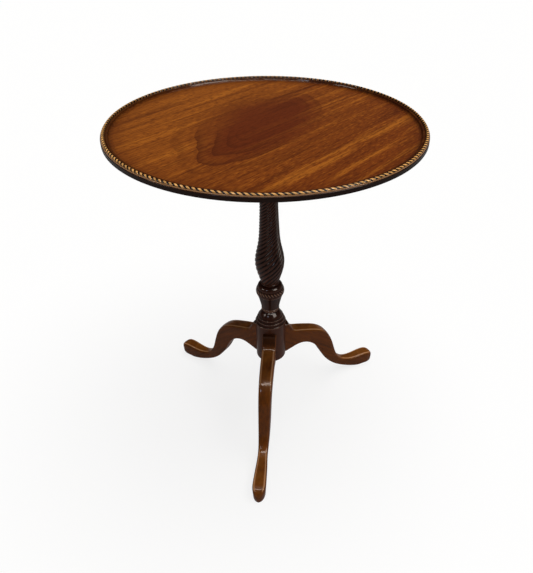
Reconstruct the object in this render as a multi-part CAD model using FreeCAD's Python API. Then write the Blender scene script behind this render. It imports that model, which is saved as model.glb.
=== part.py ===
# Tray top tea table: a round dished top that tips on a turned pillar with three cabriole legs.
# Millimetres, +Z up. The origin is on the floor under the pillar's axis, and the top tips towards -Y.
import FreeCAD, Part
import math
import os
from FreeCAD import Placement, Rotation, Vector

# Overall sizes
HEIGHT = 711.0              # floor to the crown of the rope inlay
TOP_RADIUS = 292.0
TOE_REACH = 291.0           # pillar axis to the tip of each toe
LEG_NAMES = ("leg_back", "leg_left", "leg_right")
FIRST_LEG_ANGLE = 90.0      # the back leg's, with the others spaced evenly after it

# Fits
GLUE_GAP = 0.05             # joints that are glued or screwed up tight
RUNNING_FIT = 0.06          # pivot pins turning in the bearers
SLIDE_FIT = 0.15            # bolt sliding in its case
TILT_GAP = 0.3              # block to the underside of the top
SIDE_GAP = 0.4              # block to each bearer

# Top board: heights are measured down from the rope's crown
BOARD_DEPTH = 22.0          # crown to the flat underside
FIELD_DROP = 8.0            # crown to the dished field
LEDGE_DROP = 4.6            # crown to the ledge outside the rope
EDGE_DEPTH = 8.0            # upright outer edge below the ledge
UNDERSIDE_SWEEP = 30.0      # width of the rounding that thins the edge from below
UNDERSIDE_SWELL = 1.8       # fullness of that rounding
LEDGE_WIDTH = 2.0
EDGE_ROUND = 1.0
ROPE_WIDTH = 5.2
ROPE_BED = 1.4              # depth of the rope's groove below the ledge
QUIRK_WIDTH = 2.2           # narrow sunk step inside the rope
BEAD_WIDTH = 3.6
COVE_WIDTH = 8.0
COVE_HOLLOW = 0.21          # share of its width and height that the cove's middle keeps

# Rope inlay
ROPE_PAIRS = 190            # light and dark pieces in pairs round the rim
ROPE_SLANT = 42.0           # lean of the joints on the outer face, degrees
ROPE_WRAP = 42.0            # lean of the joints across the crown, degrees
ROPE_SHOULDER = 2.4         # crown to where its rounded top begins
ROPE_HAUNCH = 0.5           # crown to the haunches halfway out to the sides

# Block, pivots and bearers under the top
BLOCK_SIDE = 140.0
BLOCK_THICKNESS = 26.0
PIN_RADIUS = 7.0
PIN_IN_BLOCK = 30.0
BEARER_WIDTH = 20.0
BEARER_HEIGHT = 30.0
BEARER_LENGTH = 430.0
BEARER_END_HEIGHT = 12.0
BEARER_TAPER = 90.0         # length of each thinned end
BEARER_SCREW_INSET = 50.0   # bearer's end to its outer screws
BEARER_SCREW_SINK = 4.6     # depth of the heads below the bearer's face
BEARER_SCREW_BITE = 9.0     # depth of thread in the board

# Pillar, from the foot of its drum upwards. A pair in brackets is a point on a curve: its share of the way
# across and of the way up.
PILLAR_FOOT = 140.0         # floor to the drum's lower face
DRUM_RADIUS = 33.5
DRUM_HEIGHT = 84.0
DRUM_ROUND = 3.0
STEP_BEADS = 3
STEP_BEAD_HEIGHT = 4.4
STEP_BEAD_RADIUS = 36.0
STEP_BEAD_INSET = 1.5       # each bead is this much smaller than the one below
BEAD_SWELL = 0.35           # beads stand out by this share of their height
RING_SWELL = 0.4            # and so do the rounder rings
DOME_RADIUS = 32.0
DOME_HEIGHT = 25.0
DOME_HAUNCH = (0.1, 0.3)
DOME_SHOULDER = (0.38, 0.66)
NECK_RADIUS = 16.0
NECK_HEIGHT = 5.0
RINGS = 2                   # below the cup
RING_RADIUS = 19.3
RING_HEIGHT = 4.0
CUP_FOOT_RADIUS = 18.4
CUP_WAIST_RADIUS = 22.6
CUP_WAIST_LEVEL = 0.64      # share of the cup's height
CUP_LIP_RADIUS = 29.4
CUP_HEIGHT = 42.0
SHOULDER_RADIUS = 31.0
SHOULDER_BEAD = 5.0
SAUCER_RADIUS = 28.2
SAUCER_NECK_RADIUS = 17.4
SAUCER_HEIGHT = 16.0
SAUCER_HAUNCH = (0.3, 0.4)
SAUCER_SHOULDER = (0.75, 0.72)
COLLAR_RADIUS = 19.8
COLLAR_HEIGHT = 5.0
VASE_FOOT_RADIUS = 18.8
VASE_RADIUS = 30.0
VASE_BELLY_HEIGHT = 52.0    # foot of the vase to its widest point
VASE_FLARE = (0.5, 0.36)
VASE_SHOULDER_RADIUS = 23.2
VASE_SHOULDER_HEIGHT = 97.0
SHAFT_FOOT_RADIUS = 19.8
SHAFT_FOOT_HEIGHT = 136.0
SHAFT_RADIUS = 18.6
CAP_HEIGHT = 48.0           # plain turned cap between the shaft and the block
CAP_RING_RADIUS = 21.5
CAP_RING_HEIGHT = 5.0
CAP_NECK_RADIUS = 17.0
CAP_RADIUS = 27.0
CAP_FLARE = (0.3, 0.6)
CAP_RIM_HEIGHT = 7.0
CAP_RIM_SWELL = 1.4
TENON_RADIUS = 14.0

# Wedge in the pillar's tenon
WEDGE_DEPTH = 18.0
WEDGE_THICK = 3.0
WEDGE_THIN = 0.8

# Legs: heights are above the floor. A place along the leg is a share of the run from the drum's face to
# the toe's tip, and the foot is measured back from that tip.
LEG_WIDTH = 28.5
LEG_SHIN_WIDTH = 24.6
LEG_ANKLE_WIDTH = 20.6
LEG_FOOT_WIDTH = 26.6
TOE_POINTS = 8              # even, so that one point is the tip
BRACKET_TOP = 223.0
BRACKET_LAND = 6.5          # flat top of the bracket beside the drum
BRACKET_RUN = 22.0          # sweep from that land down to the leg
BRACKET_UPPER = (0.2, 0.38) # points on that sweep: share of its run and of its drop
BRACKET_LOWER = (0.5, 0.79)
LEG_SHOULDER_HEIGHT = 193.5
KNEE_SHARE = 0.351
KNEE_HEIGHT = 172.0
KNEE_TURN_SHARE = 0.417
KNEE_TURN_HEIGHT = 158.0
SHIN_SHARE = 0.515
SHIN_HEIGHT = 104.0
ANKLE_SHARE = 0.627
ANKLE_HEIGHT = 44.5
FOOT_HEIGHT = 33.5
INSTEP_INSET = 65.0         # toe tip back to the foot's instep
TOE_LENGTH = 23.0           # toe tip back to the foot's crown
TOE_TIP_HEIGHT = 9.0
ARCH_SHARE = 0.165
ARCH_HEIGHT = 149.8
ROOT_FLAT = 23.5            # length of the straight underside beside the drum
ROOT_FLAT_HEIGHT = 147.6
HOCK_SHARE = 0.282
HOCK_HEIGHT = 133.5
CALF_SHARE = 0.383
CALF_HEIGHT = 88.5
HEEL_SHARE = 0.538
HEEL_HEIGHT = 37.0
SOLE_START_INSET = 45.0     # toe tip back to the start of the flat sole
SOLE_END_INSET = 6.0        # toe tip back to the end of the flat sole
TOE_SWELL = 1.5             # fullness of the round between them
DOVETAIL_DEPTH = 15.0
DOVETAIL_NECK = 11.0
DOVETAIL_TAIL = 15.5
DOVETAIL_HEIGHT = 64.0

# Iron brace under the pillar
BRACE_THICKNESS = 2.0
BRACE_HUB_RADIUS = 26.0
BRACE_ARM_WIDTH = 17.0
BRACE_NAIL_INSET = 10.0     # end of each arm to its nail
NAIL_RADIUS = 1.8
NAIL_HEAD_RADIUS = 4.2
NAIL_FACE_RADIUS = 2.9
NAIL_HEAD_HEIGHT = 1.6
NAIL_LENGTH = 20.0

# Catch: a brass bolt in a case under the top, and its strike plate on the block
CATCH_PLATE_WIDTH = 58.0
CATCH_PLATE_LENGTH = 50.0
CATCH_PLATE_THICKNESS = 5.0
CATCH_SETBACK = 7.0         # block's rear face to the catch plate
CATCH_SCREW_SPACING = 25.0
CASE_WALL = 2.0
CASE_FLANGE = 1.8
BOLT_WIDTH = 14.0
BOLT_HEIGHT = 7.0
BOLT_LENGTH = 56.0
BOLT_BEVEL = 3.0
BOLT_NOSE_GAP = 2.0         # drawn bolt to the strike plate
BOLT_TRAVEL = 9.0
KNOB_STEM_RADIUS = 2.8
KNOB_STEM_SEAT = 4.0
KNOB_RADIUS = 7.0
KNOB_COLLAR_RADIUS = 4.4
KNOB_COLLAR_HEIGHT = 2.0
KNOB_SETBACK = 27.0         # bolt's nose to the knob's stem
KNOB_SLOT_GAP = 0.3         # stem to the sides of its slot
KNOB_GAP = 0.3              # case to the knob's collar
STRIKE_WIDTH = 48.0
STRIKE_HEIGHT = 18.0
STRIKE_INSET = 1.0          # block's top to the strike plate
STRIKE_THICKNESS = 2.0
STRIKE_MARGIN = 0.8         # clearance of the bolt in the strike's hole
STRIKE_SCREW_SPACING = 34.0

# Slotted countersunk screws: head radius, shank radius
WOOD_SCREW = (4.6, 2.2)
BRASS_SCREW = (3.2, 1.5)
BRASS_SCREW_LENGTH = 13.0
SCREW_SLOT_WIDTH = 0.9
SCREW_SLOT_DEPTH = 0.8
SCREW_TIP = 3.0

# Levels and places that follow from the sizes above
UNDERSIDE = HEIGHT - BOARD_DEPTH
FIELD = HEIGHT - FIELD_DROP
LEDGE = HEIGHT - LEDGE_DROP
ROPE_FLOOR = LEDGE - ROPE_BED
ROPE_OUTER = TOP_RADIUS - LEDGE_WIDTH
ROPE_INNER = ROPE_OUTER - ROPE_WIDTH
BLOCK_TOP = UNDERSIDE - TILT_GAP
BLOCK_FOOT = BLOCK_TOP - BLOCK_THICKNESS
BLOCK_REAR = BLOCK_SIDE / 2
PIVOT_Z = BLOCK_TOP - BLOCK_THICKNESS / 2
PIVOT_Y = BLOCK_THICKNESS / 2 - BLOCK_SIDE / 2
BEARER_INNER = BLOCK_SIDE / 2 + SIDE_GAP
BEARER_MIDDLE = BEARER_INNER + BEARER_WIDTH / 2
CATCH_FRONT = BLOCK_REAR + CATCH_SETBACK
CATCH_MIDDLE = CATCH_FRONT + CATCH_PLATE_LENGTH / 2
PLATE_FOOT = UNDERSIDE - CATCH_PLATE_THICKNESS
BOLT_TOP = PLATE_FOOT - SLIDE_FIT
BOLT_NOSE = BLOCK_REAR + BOLT_NOSE_GAP
STRIKE_MIDDLE = BLOCK_TOP - STRIKE_INSET - STRIKE_HEIGHT / 2
KNOB_Y = BOLT_NOSE + KNOB_SETBACK
LEG_RUN = TOE_REACH - DRUM_RADIUS
KNEE_OUT = DRUM_RADIUS + KNEE_SHARE * LEG_RUN
SHIN_OUT = DRUM_RADIUS + SHIN_SHARE * LEG_RUN
ANKLE_OUT = DRUM_RADIUS + ANKLE_SHARE * LEG_RUN
INSTEP_OUT = TOE_REACH - INSTEP_INSET
TOE_CROWN_OUT = TOE_REACH - TOE_LENGTH
ROOT_FLAT_OUT = DRUM_RADIUS + ROOT_FLAT
BRACE_SLOPE = math.atan2(ROOT_FLAT_HEIGHT - PILLAR_FOOT, ROOT_FLAT)
LEG_ANGLES = {name: FIRST_LEG_ANGLE + 360 * i / len(LEG_NAMES) for i, name in enumerate(LEG_NAMES)}

SAME_POINT = 1e-6
DIAGONAL = math.sqrt(0.5)   # half a quarter turn, across and up
X_AXIS = Vector(1, 0, 0)
Y_AXIS = Vector(0, 1, 0)
Z_AXIS = Vector(0, 0, 1)


def box(x0, x1, y0, y1, z0, z1):
    """A block between two corners."""
    return Part.makeBox(x1 - x0, y1 - y0, z1 - z0, Vector(x0, y0, z0))


def rod(radius, length, start, axis=Z_AXIS):
    """A round rod from a point along an axis."""
    return Part.makeCylinder(radius, length, start, axis)


def turned_about_z(shape, degrees):
    """A copy of a shape turned about the pillar's axis."""
    return shape.transformed(Placement(Vector(), Rotation(Z_AXIS, degrees)).toMatrix())


def spline_through(points, start_tangent=None, end_tangent=None):
    """A curve through points, with the directions of its ends where they are given."""
    ends = [start_tangent] + [None] * (len(points) - 2) + [end_tangent]
    spline = Part.BSplineCurve()
    spline.interpolate(points, Tangents=[end or X_AXIS for end in ends],
                       TangentFlags=[end is not None for end in ends])
    return spline.toShape()


class Profile:
    """A chain of lines, arcs and curves in the XZ plane, as (distance out, height)."""

    def __init__(self, out, height):
        self.start = Vector(out, 0, height)
        self.here = self.start
        self.edges = []

    def line(self, out, height):
        """A straight edge, or none where it would have no length."""
        end = Vector(out, 0, height)
        if end.distanceToPoint(self.here) > SAME_POINT:
            self.edges.append(Part.makeLine(self.here, end))
        self.here = end
        return self

    def arc(self, through, out, height):
        """An arc through a middle point."""
        end = Vector(out, 0, height)
        middle = Vector(through[0], 0, through[1])
        self.edges.append(Part.Arc(self.here, middle, end).toShape())
        self.here = end
        return self

    def bead(self, out, height, swell):
        """An arc that stands proud of its chord, to the right of the way it runs."""
        end = Vector(out, 0, height)
        run = end - self.here
        side = Vector(run.z, 0, -run.x).normalize() * swell
        middle = (self.here + end) * 0.5 + side
        self.edges.append(Part.Arc(self.here, middle, end).toShape())
        self.here = end
        return self

    def curve(self, *points, smooth_start=False):
        """A curve through the points given; a smooth start carries on from the line before it."""
        run = [self.here] + [Vector(out, 0, height) for out, height in points]
        before = self.edges[-1].tangentAt(self.edges[-1].LastParameter) if smooth_start else None
        self.edges.append(spline_through(run, before))
        self.here = run[-1]
        return self

    def flare(self, *points, after=()):
        """A curve to the last point by way of shares of the run across and up to it, then on after it."""
        start = self.here
        out, height = points[-1]
        shares = [(start.x + (out - start.x) * across, start.z + (height - start.z) * up)
                  for across, up in points[:-1]]
        return self.curve(*shares, (out, height), *after)

    def face(self):
        """The closed outline as a face."""
        self.line(self.start.x, self.start.z)
        return Part.Face(Part.Wire(self.edges))

    def turned(self):
        """The outline turned once about the pillar's axis."""
        return self.face().revolve(Vector(), Z_AXIS, 360)


def countersunk_screw(head_radius, shank_radius, length, clearance=0.0):
    """A slotted screw pointing up, with its head's face at the origin; a clearance makes the hole for it."""
    head = head_radius + clearance
    shank = shank_radius + clearance
    shape = Profile(0, -clearance)
    shape.line(head, -clearance)
    shape.line(head, 0)
    shape.line(shank, head_radius - shank_radius)
    shape.line(shank, length - SCREW_TIP)
    shape.line(0, length + clearance)
    if clearance:
        return shape.turned()
    half = SCREW_SLOT_WIDTH / 2
    return shape.turned().cut(box(-head, head, -half, half, 0, SCREW_SLOT_DEPTH))


def placed(shape, at, axis=Z_AXIS):
    """A copy of an upright shape, moved to a point and turned to an axis."""
    return shape.transformed(Placement(Vector(*at), Rotation(Z_AXIS, axis)).toMatrix())


def tray_blank():
    """The dished board: rounded edge below, groove for the rope, quirk, bead and cove inside it."""
    quirk_inner = ROPE_INNER - QUIRK_WIDTH
    bead_inner = quirk_inner - BEAD_WIDTH
    field_radius = bead_inner - COVE_WIDTH
    edge_foot = LEDGE - EDGE_DEPTH
    sweep_start = TOP_RADIUS - UNDERSIDE_SWEEP
    corner = EDGE_ROUND * (1 - DIAGONAL)
    cove_middle = (bead_inner - COVE_WIDTH * COVE_HOLLOW, FIELD + (LEDGE - FIELD) * COVE_HOLLOW)
    shape = Profile(0, UNDERSIDE)
    shape.line(sweep_start, UNDERSIDE)
    shape.bead(TOP_RADIUS, edge_foot, UNDERSIDE_SWELL)
    shape.line(TOP_RADIUS, LEDGE - EDGE_ROUND)
    shape.arc((TOP_RADIUS - corner, LEDGE - corner), TOP_RADIUS - EDGE_ROUND, LEDGE)
    shape.line(ROPE_OUTER, LEDGE)
    shape.line(ROPE_OUTER, ROPE_FLOOR)
    shape.line(ROPE_INNER, ROPE_FLOOR)
    shape.line(ROPE_INNER, LEDGE)
    shape.line(quirk_inner, LEDGE)
    shape.bead(bead_inner, LEDGE, BEAD_WIDTH / 2)
    shape.arc(cove_middle, field_radius, FIELD)
    shape.line(0, FIELD)
    return shape.turned()


def rope_end(out, height, turn):
    """How far along its piece a corner of the section meets the slanted joint that lies a turn away."""
    lean = math.tan(math.radians(ROPE_SLANT))
    wrap = math.tan(math.radians(ROPE_WRAP))
    middle = (ROPE_OUTER + ROPE_INNER) / 2
    rise = height - (ROPE_FLOOR + HEIGHT) / 2
    gap = math.copysign(GLUE_GAP / 2, turn) * math.sqrt(1 + lean ** 2 + wrap ** 2)
    reach = out * (math.sin(turn) + wrap * math.cos(turn)) - middle * wrap - rise * lean - gap
    return reach / (math.cos(turn) - wrap * math.sin(turn))


def rope_piece(angle, step):
    """One slanted piece of the rope: a rounded section run along the rim between two shared joints."""
    outward = Vector(math.cos(angle), math.sin(angle), 0)
    along = Vector(-math.sin(angle), math.cos(angle), 0)
    turns = (-step / 2, step / 2)
    far_corner = max(abs(rope_end(ROPE_OUTER, ROPE_FLOOR, turn)) for turn in turns)
    outer = math.sqrt((ROPE_OUTER - GLUE_GAP) ** 2 - far_corner ** 2)
    inner = ROPE_INNER + GLUE_GAP
    middle = (outer + inner) / 2
    spring = HEIGHT - ROPE_SHOULDER
    haunch = (outer - inner) / 4
    crown = HEIGHT - ROPE_HAUNCH
    section = [(inner, ROPE_FLOOR), (outer, ROPE_FLOOR), (outer, spring), (middle + haunch, crown),
               (middle, HEIGHT), (middle - haunch, crown), (inner, spring)]
    first, last = ([outward * out + Z_AXIS * height + along * rope_end(out, height, turn)
                    for out, height in section] for turn in turns)
    loops = [first, last[::-1]]
    for i in range(len(section)):
        loops.append([first[i], last[i], last[i - 1], first[i - 1]])
    shell = Part.Shell([Part.Face(Part.makePolygon(loop + loop[:1])) for loop in loops])
    return Part.Solid(shell)


def rope_pieces(first):
    """Every second piece of the rope, from the first one given."""
    step = math.pi / ROPE_PAIRS
    return Part.makeCompound([rope_piece((first + 2 * i) * step, step) for i in range(ROPE_PAIRS)])


def bearer_blank(side):
    """A bearer across the grain, thinned towards its ends, on the left (-1) or right (+1) of the block."""
    half = BEARER_LENGTH / 2
    low = UNDERSIDE - BEARER_HEIGHT
    tip = UNDERSIDE - BEARER_END_HEIGHT
    flat = half - BEARER_TAPER
    outline = [(-half, UNDERSIDE), (half, UNDERSIDE), (half, tip), (flat, low), (-flat, low), (-half, tip)]
    near = BEARER_INNER if side > 0 else -BEARER_INNER - BEARER_WIDTH
    corners = [Vector(near, y, z) for y, z in outline]
    return Part.Face(Part.makePolygon(corners + corners[:1])).extrude(X_AXIS * BEARER_WIDTH)


def bearer_screw_places():
    """Feet of the screws that hold the bearers to the board."""
    low = UNDERSIDE - BEARER_HEIGHT
    flat = BEARER_LENGTH / 2 - BEARER_TAPER
    reach = BEARER_LENGTH / 2 - BEARER_SCREW_INSET
    drop = max(0.0, reach - flat) * (BEARER_HEIGHT - BEARER_END_HEIGHT) / BEARER_TAPER
    return [(side * BEARER_MIDDLE, y, low + rise) for side in (-1, 1)
            for y, rise in ((-reach, drop), (0, 0), (reach, drop))]


def bearer_screw_at(place, clearance=0.0):
    """A bearer screw, or the hole for it: its head is sunk a little below the bearer's face."""
    head, shank = WOOD_SCREW
    start = place[2] + BEARER_SCREW_SINK
    length = UNDERSIDE + BEARER_SCREW_BITE - start
    screw = countersunk_screw(head, shank, length, clearance)
    solid = placed(screw, (place[0], place[1], start))
    if clearance:
        depth = BEARER_SCREW_SINK + head
        well = rod(head + clearance, depth, Vector(place[0], place[1], start - depth))
        solid = solid.fuse(well)
    return solid


def pivot_pin(side, radius):
    """A hardwood pin from the block through its bearer."""
    near = BLOCK_SIDE / 2 - PIN_IN_BLOCK
    length = PIN_IN_BLOCK + SIDE_GAP + BEARER_WIDTH
    return rod(radius, length, Vector(side * near, PIVOT_Y, PIVOT_Z), X_AXIS * side)


def block_blank():
    """The block: its front upper edge is round about the pivot, its front face stops the tipped top."""
    half = BLOCK_SIDE / 2
    radius = BLOCK_THICKNESS / 2
    round_start = Vector(-half, PIVOT_Y, BLOCK_TOP)
    round_end = Vector(-half, -half, PIVOT_Z)
    slant = radius * DIAGONAL
    middle = Vector(-half, PIVOT_Y - slant, PIVOT_Z + slant)
    edges = [Part.Arc(round_start, middle, round_end).toShape()]
    corners = [round_end, Vector(-half, -half, BLOCK_FOOT), Vector(-half, half, BLOCK_FOOT),
               Vector(-half, half, BLOCK_TOP), round_start]
    edges += [Part.makeLine(a, b) for a, b in zip(corners, corners[1:])]
    return Part.Face(Part.Wire(edges)).extrude(X_AXIS * BLOCK_SIDE)


def pillar_blank():
    """The turned pillar: drum, step beads, dome, urn, vase, shaft, cap and tenon."""
    level = PILLAR_FOOT + DRUM_HEIGHT
    corner = DRUM_ROUND * (1 - DIAGONAL)
    shape = Profile(0, PILLAR_FOOT)
    shape.line(DRUM_RADIUS - DRUM_ROUND, PILLAR_FOOT)
    shape.arc((DRUM_RADIUS - corner, PILLAR_FOOT + corner), DRUM_RADIUS, PILLAR_FOOT + DRUM_ROUND)
    shape.line(DRUM_RADIUS, level)
    for step in range(STEP_BEADS):
        crown = STEP_BEAD_RADIUS - step * STEP_BEAD_INSET
        swell = STEP_BEAD_HEIGHT * BEAD_SWELL
        shape.line(crown - swell, level)
        level += STEP_BEAD_HEIGHT
        shape.bead(crown - swell, level, swell)
    shape.line(DOME_RADIUS, level)
    shape.flare(DOME_HAUNCH, DOME_SHOULDER, (NECK_RADIUS, level + DOME_HEIGHT))
    level += DOME_HEIGHT + NECK_HEIGHT
    shape.line(NECK_RADIUS, level)
    ring_swell = RING_HEIGHT * RING_SWELL
    for _ in range(RINGS):
        shape.line(RING_RADIUS - ring_swell, level)
        level += RING_HEIGHT
        shape.bead(RING_RADIUS - ring_swell, level, ring_swell)
    shape.line(CUP_FOOT_RADIUS, level)
    waist = level + CUP_HEIGHT * CUP_WAIST_LEVEL
    level += CUP_HEIGHT
    shape.curve((CUP_WAIST_RADIUS, waist), (CUP_LIP_RADIUS, level))
    for crown in (SHOULDER_RADIUS, SHOULDER_RADIUS - STEP_BEAD_INSET):
        swell = SHOULDER_BEAD * BEAD_SWELL
        shape.line(crown - swell, level)
        level += SHOULDER_BEAD
        shape.bead(crown - swell, level, swell)
    shape.line(SAUCER_RADIUS, level)
    shape.flare(SAUCER_HAUNCH, SAUCER_SHOULDER, (SAUCER_NECK_RADIUS, level + SAUCER_HEIGHT))
    level += SAUCER_HEIGHT
    collar_swell = COLLAR_HEIGHT * RING_SWELL
    shape.line(COLLAR_RADIUS - collar_swell, level)
    level += COLLAR_HEIGHT
    shape.bead(COLLAR_RADIUS - collar_swell, level, collar_swell)
    shape.line(VASE_FOOT_RADIUS, level)
    shaft_top = BLOCK_FOOT - CAP_HEIGHT
    belly = level + VASE_BELLY_HEIGHT
    shape.flare(VASE_FLARE, (VASE_RADIUS, belly),
                after=[(VASE_SHOULDER_RADIUS, level + VASE_SHOULDER_HEIGHT),
                       (SHAFT_FOOT_RADIUS, level + SHAFT_FOOT_HEIGHT), (SHAFT_RADIUS, shaft_top)])
    cap_swell = CAP_RING_HEIGHT * RING_SWELL
    shape.line(CAP_RING_RADIUS - cap_swell, shaft_top)
    shape.bead(CAP_RING_RADIUS - cap_swell, shaft_top + CAP_RING_HEIGHT, cap_swell)
    shape.line(CAP_NECK_RADIUS, shaft_top + CAP_RING_HEIGHT)
    shape.flare(CAP_FLARE, (CAP_RADIUS, BLOCK_FOOT - CAP_RIM_HEIGHT))
    shape.bead(CAP_RADIUS, BLOCK_FOOT, CAP_RIM_SWELL)
    shape.line(TENON_RADIUS, BLOCK_FOOT)
    shape.line(TENON_RADIUS, BLOCK_TOP)
    shape.line(0, BLOCK_TOP)
    return shape.turned()


def wedge_blank():
    """The wedge that spreads the tenon, across the block's width."""
    half_top = WEDGE_THICK / 2
    half_foot = WEDGE_THIN / 2
    foot = BLOCK_TOP - WEDGE_DEPTH
    outline = [(-half_top, BLOCK_TOP), (half_top, BLOCK_TOP), (half_foot, foot), (-half_foot, foot)]
    corners = [Vector(-TENON_RADIUS, y, z) for y, z in outline]
    prism = Part.Face(Part.makePolygon(corners + corners[:1])).extrude(X_AXIS * TENON_RADIUS * 2)
    return prism.common(rod(TENON_RADIUS, WEDGE_DEPTH, Vector(0, 0, foot)))


def dovetail(clearance, proud):
    """A sliding dovetail on the +X side of the pillar; proud lengthens it past the drum's face and foot."""
    root = DRUM_RADIUS - DOVETAIL_DEPTH - clearance
    face = DRUM_RADIUS + proud
    flare = (DOVETAIL_TAIL - DOVETAIL_NECK) / 2 / DOVETAIL_DEPTH
    tail = DOVETAIL_NECK / 2 + flare * (DRUM_RADIUS - root) + clearance
    neck = DOVETAIL_NECK / 2 - flare * proud + clearance
    foot = PILLAR_FOOT - proud
    top = PILLAR_FOOT + DOVETAIL_HEIGHT + clearance
    outline = [(root, -tail), (face, -neck), (face, neck), (root, tail)]
    corners = [Vector(x, y, foot) for x, y in outline]
    return Part.Face(Part.makePolygon(corners + corners[:1])).extrude(Z_AXIS * (top - foot))


def leg_side():
    """The leg's outline from the side: bracket, knee, ankle, slipper foot and the sweep back under it."""
    root = DRUM_RADIUS - DOVETAIL_DEPTH
    land = DRUM_RADIUS + BRACKET_LAND
    knee_turn = (DRUM_RADIUS + KNEE_TURN_SHARE * LEG_RUN, KNEE_TURN_HEIGHT)
    heel = (DRUM_RADIUS + HEEL_SHARE * LEG_RUN, HEEL_HEIGHT)
    calf = (DRUM_RADIUS + CALF_SHARE * LEG_RUN, CALF_HEIGHT)
    hock = (DRUM_RADIUS + HOCK_SHARE * LEG_RUN, HOCK_HEIGHT)
    arch = (DRUM_RADIUS + ARCH_SHARE * LEG_RUN, ARCH_HEIGHT)
    side = Profile(root, BRACKET_TOP)
    side.line(land, BRACKET_TOP)
    side.flare(BRACKET_UPPER, BRACKET_LOWER, (land + BRACKET_RUN, LEG_SHOULDER_HEIGHT))
    side.line(KNEE_OUT, KNEE_HEIGHT)
    side.curve(knee_turn, (SHIN_OUT, SHIN_HEIGHT), (ANKLE_OUT, ANKLE_HEIGHT),
               (INSTEP_OUT, FOOT_HEIGHT), (TOE_CROWN_OUT, FOOT_HEIGHT), (TOE_REACH, TOE_TIP_HEIGHT),
               smooth_start=True)
    side.bead(TOE_REACH - SOLE_END_INSET, 0, TOE_SWELL)
    side.line(TOE_REACH - SOLE_START_INSET, 0)
    side.curve(heel, calf, hock, arch, (ROOT_FLAT_OUT, ROOT_FLAT_HEIGHT))
    side.line(DRUM_RADIUS, PILLAR_FOOT)
    side.line(root, PILLAR_FOOT)
    return side.face()


def leg_plan():
    """The leg's outline from above: straight to the knee, waisted at the ankle, with a half-oval toe."""
    root = DRUM_RADIUS - DOVETAIL_DEPTH
    instep = (LEG_ANKLE_WIDTH + LEG_FOOT_WIDTH) / 2
    widths = [(KNEE_OUT, LEG_WIDTH), (SHIN_OUT, LEG_SHIN_WIDTH), (ANKLE_OUT, LEG_ANKLE_WIDTH),
              (INSTEP_OUT, instep), (TOE_CROWN_OUT, LEG_FOOT_WIDTH)]
    edges = [Part.makeLine(Vector(root, LEG_WIDTH / 2, 0), Vector(root, -LEG_WIDTH / 2, 0))]
    for side in (-0.5, 0.5):
        points = [Vector(out, side * width, 0) for out, width in widths]
        edges.append(spline_through(points, X_AXIS, X_AXIS))
        edges.append(Part.makeLine(Vector(root, side * LEG_WIDTH, 0), points[0]))
    turns = [math.radians(90 - 180 * i / TOE_POINTS) for i in range(TOE_POINTS + 1)]
    toe = [Vector(TOE_CROWN_OUT + TOE_LENGTH * math.cos(turn), LEG_FOOT_WIDTH / 2 * math.sin(turn), 0)
           for turn in turns]
    edges.append(spline_through(toe, X_AXIS, X_AXIS * -1))
    return Part.Face(Part.Wire(Part.sortEdges(edges)[0]))


def leg_blank():
    """A cabriole leg on the +X side, coped to the drum, with its dovetail."""
    slab = leg_side().extrude(Y_AXIS * LEG_WIDTH * 2)
    slab.translate(Y_AXIS * -LEG_WIDTH)
    body = slab.common(leg_plan().extrude(Z_AXIS * BRACKET_TOP)).Solids[0]
    shoulder = rod(DRUM_RADIUS + GLUE_GAP, HEIGHT, Vector()).cut(dovetail(0, DRUM_ROUND))
    return body.cut(shoulder)


def brace_arm():
    """One arm of the iron brace on the +X side, bent to follow the leg's straight underside."""
    lower = PILLAR_FOOT - BRACE_THICKNESS
    miter = BRACE_THICKNESS * math.tan(BRACE_SLOPE / 2)
    end_out = ROOT_FLAT_OUT + BRACE_THICKNESS * math.sin(BRACE_SLOPE)
    end_up = ROOT_FLAT_HEIGHT - BRACE_THICKNESS * math.cos(BRACE_SLOPE)
    outline = [(0, PILLAR_FOOT), (DRUM_RADIUS, PILLAR_FOOT), (ROOT_FLAT_OUT, ROOT_FLAT_HEIGHT),
               (end_out, end_up), (DRUM_RADIUS + miter, lower), (0, lower)]
    corners = [Vector(x, -BRACE_ARM_WIDTH / 2, z) for x, z in outline]
    return Part.Face(Part.makePolygon(corners + corners[:1])).extrude(Y_AXIS * BRACE_ARM_WIDTH)


def brace_nail(clearance):
    """A wrought nail pointing up, with its head's inner face at the origin, or the hole for it."""
    shank = rod(NAIL_RADIUS + clearance, NAIL_LENGTH + clearance, Vector())
    if clearance:
        return shank
    under = Vector(0, 0, -NAIL_HEAD_HEIGHT)
    head = Part.makeCone(NAIL_FACE_RADIUS, NAIL_HEAD_RADIUS, NAIL_HEAD_HEIGHT, under)
    return shank.fuse(head).removeSplitter()


def brace_nails(clearance):
    """Nails through the arms into the legs, and one through the hub into the pillar."""
    up = Vector(-math.sin(BRACE_SLOPE), 0, math.cos(BRACE_SLOPE))
    run = ROOT_FLAT - BRACE_NAIL_INSET
    foot = Vector(DRUM_RADIUS + run, 0, PILLAR_FOOT + run * math.tan(BRACE_SLOPE))
    seat = foot - up * BRACE_THICKNESS
    arm_nail = placed(brace_nail(clearance), seat, up)
    hub_nail = placed(brace_nail(clearance), (0, 0, PILLAR_FOOT - BRACE_THICKNESS))
    return [hub_nail] + [turned_about_z(arm_nail, angle) for angle in LEG_ANGLES.values()]


def catch_screw_places():
    """Feet of the four screws in the case's flanges."""
    flange_middle = (CATCH_PLATE_WIDTH / 2 + BOLT_WIDTH / 2 + CASE_WALL) / 2
    half = CATCH_SCREW_SPACING / 2
    foot = PLATE_FOOT - CASE_FLANGE
    return [(sx * flange_middle, CATCH_MIDDLE + sy * half, foot) for sx in (-1, 1) for sy in (-1, 1)]


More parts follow.
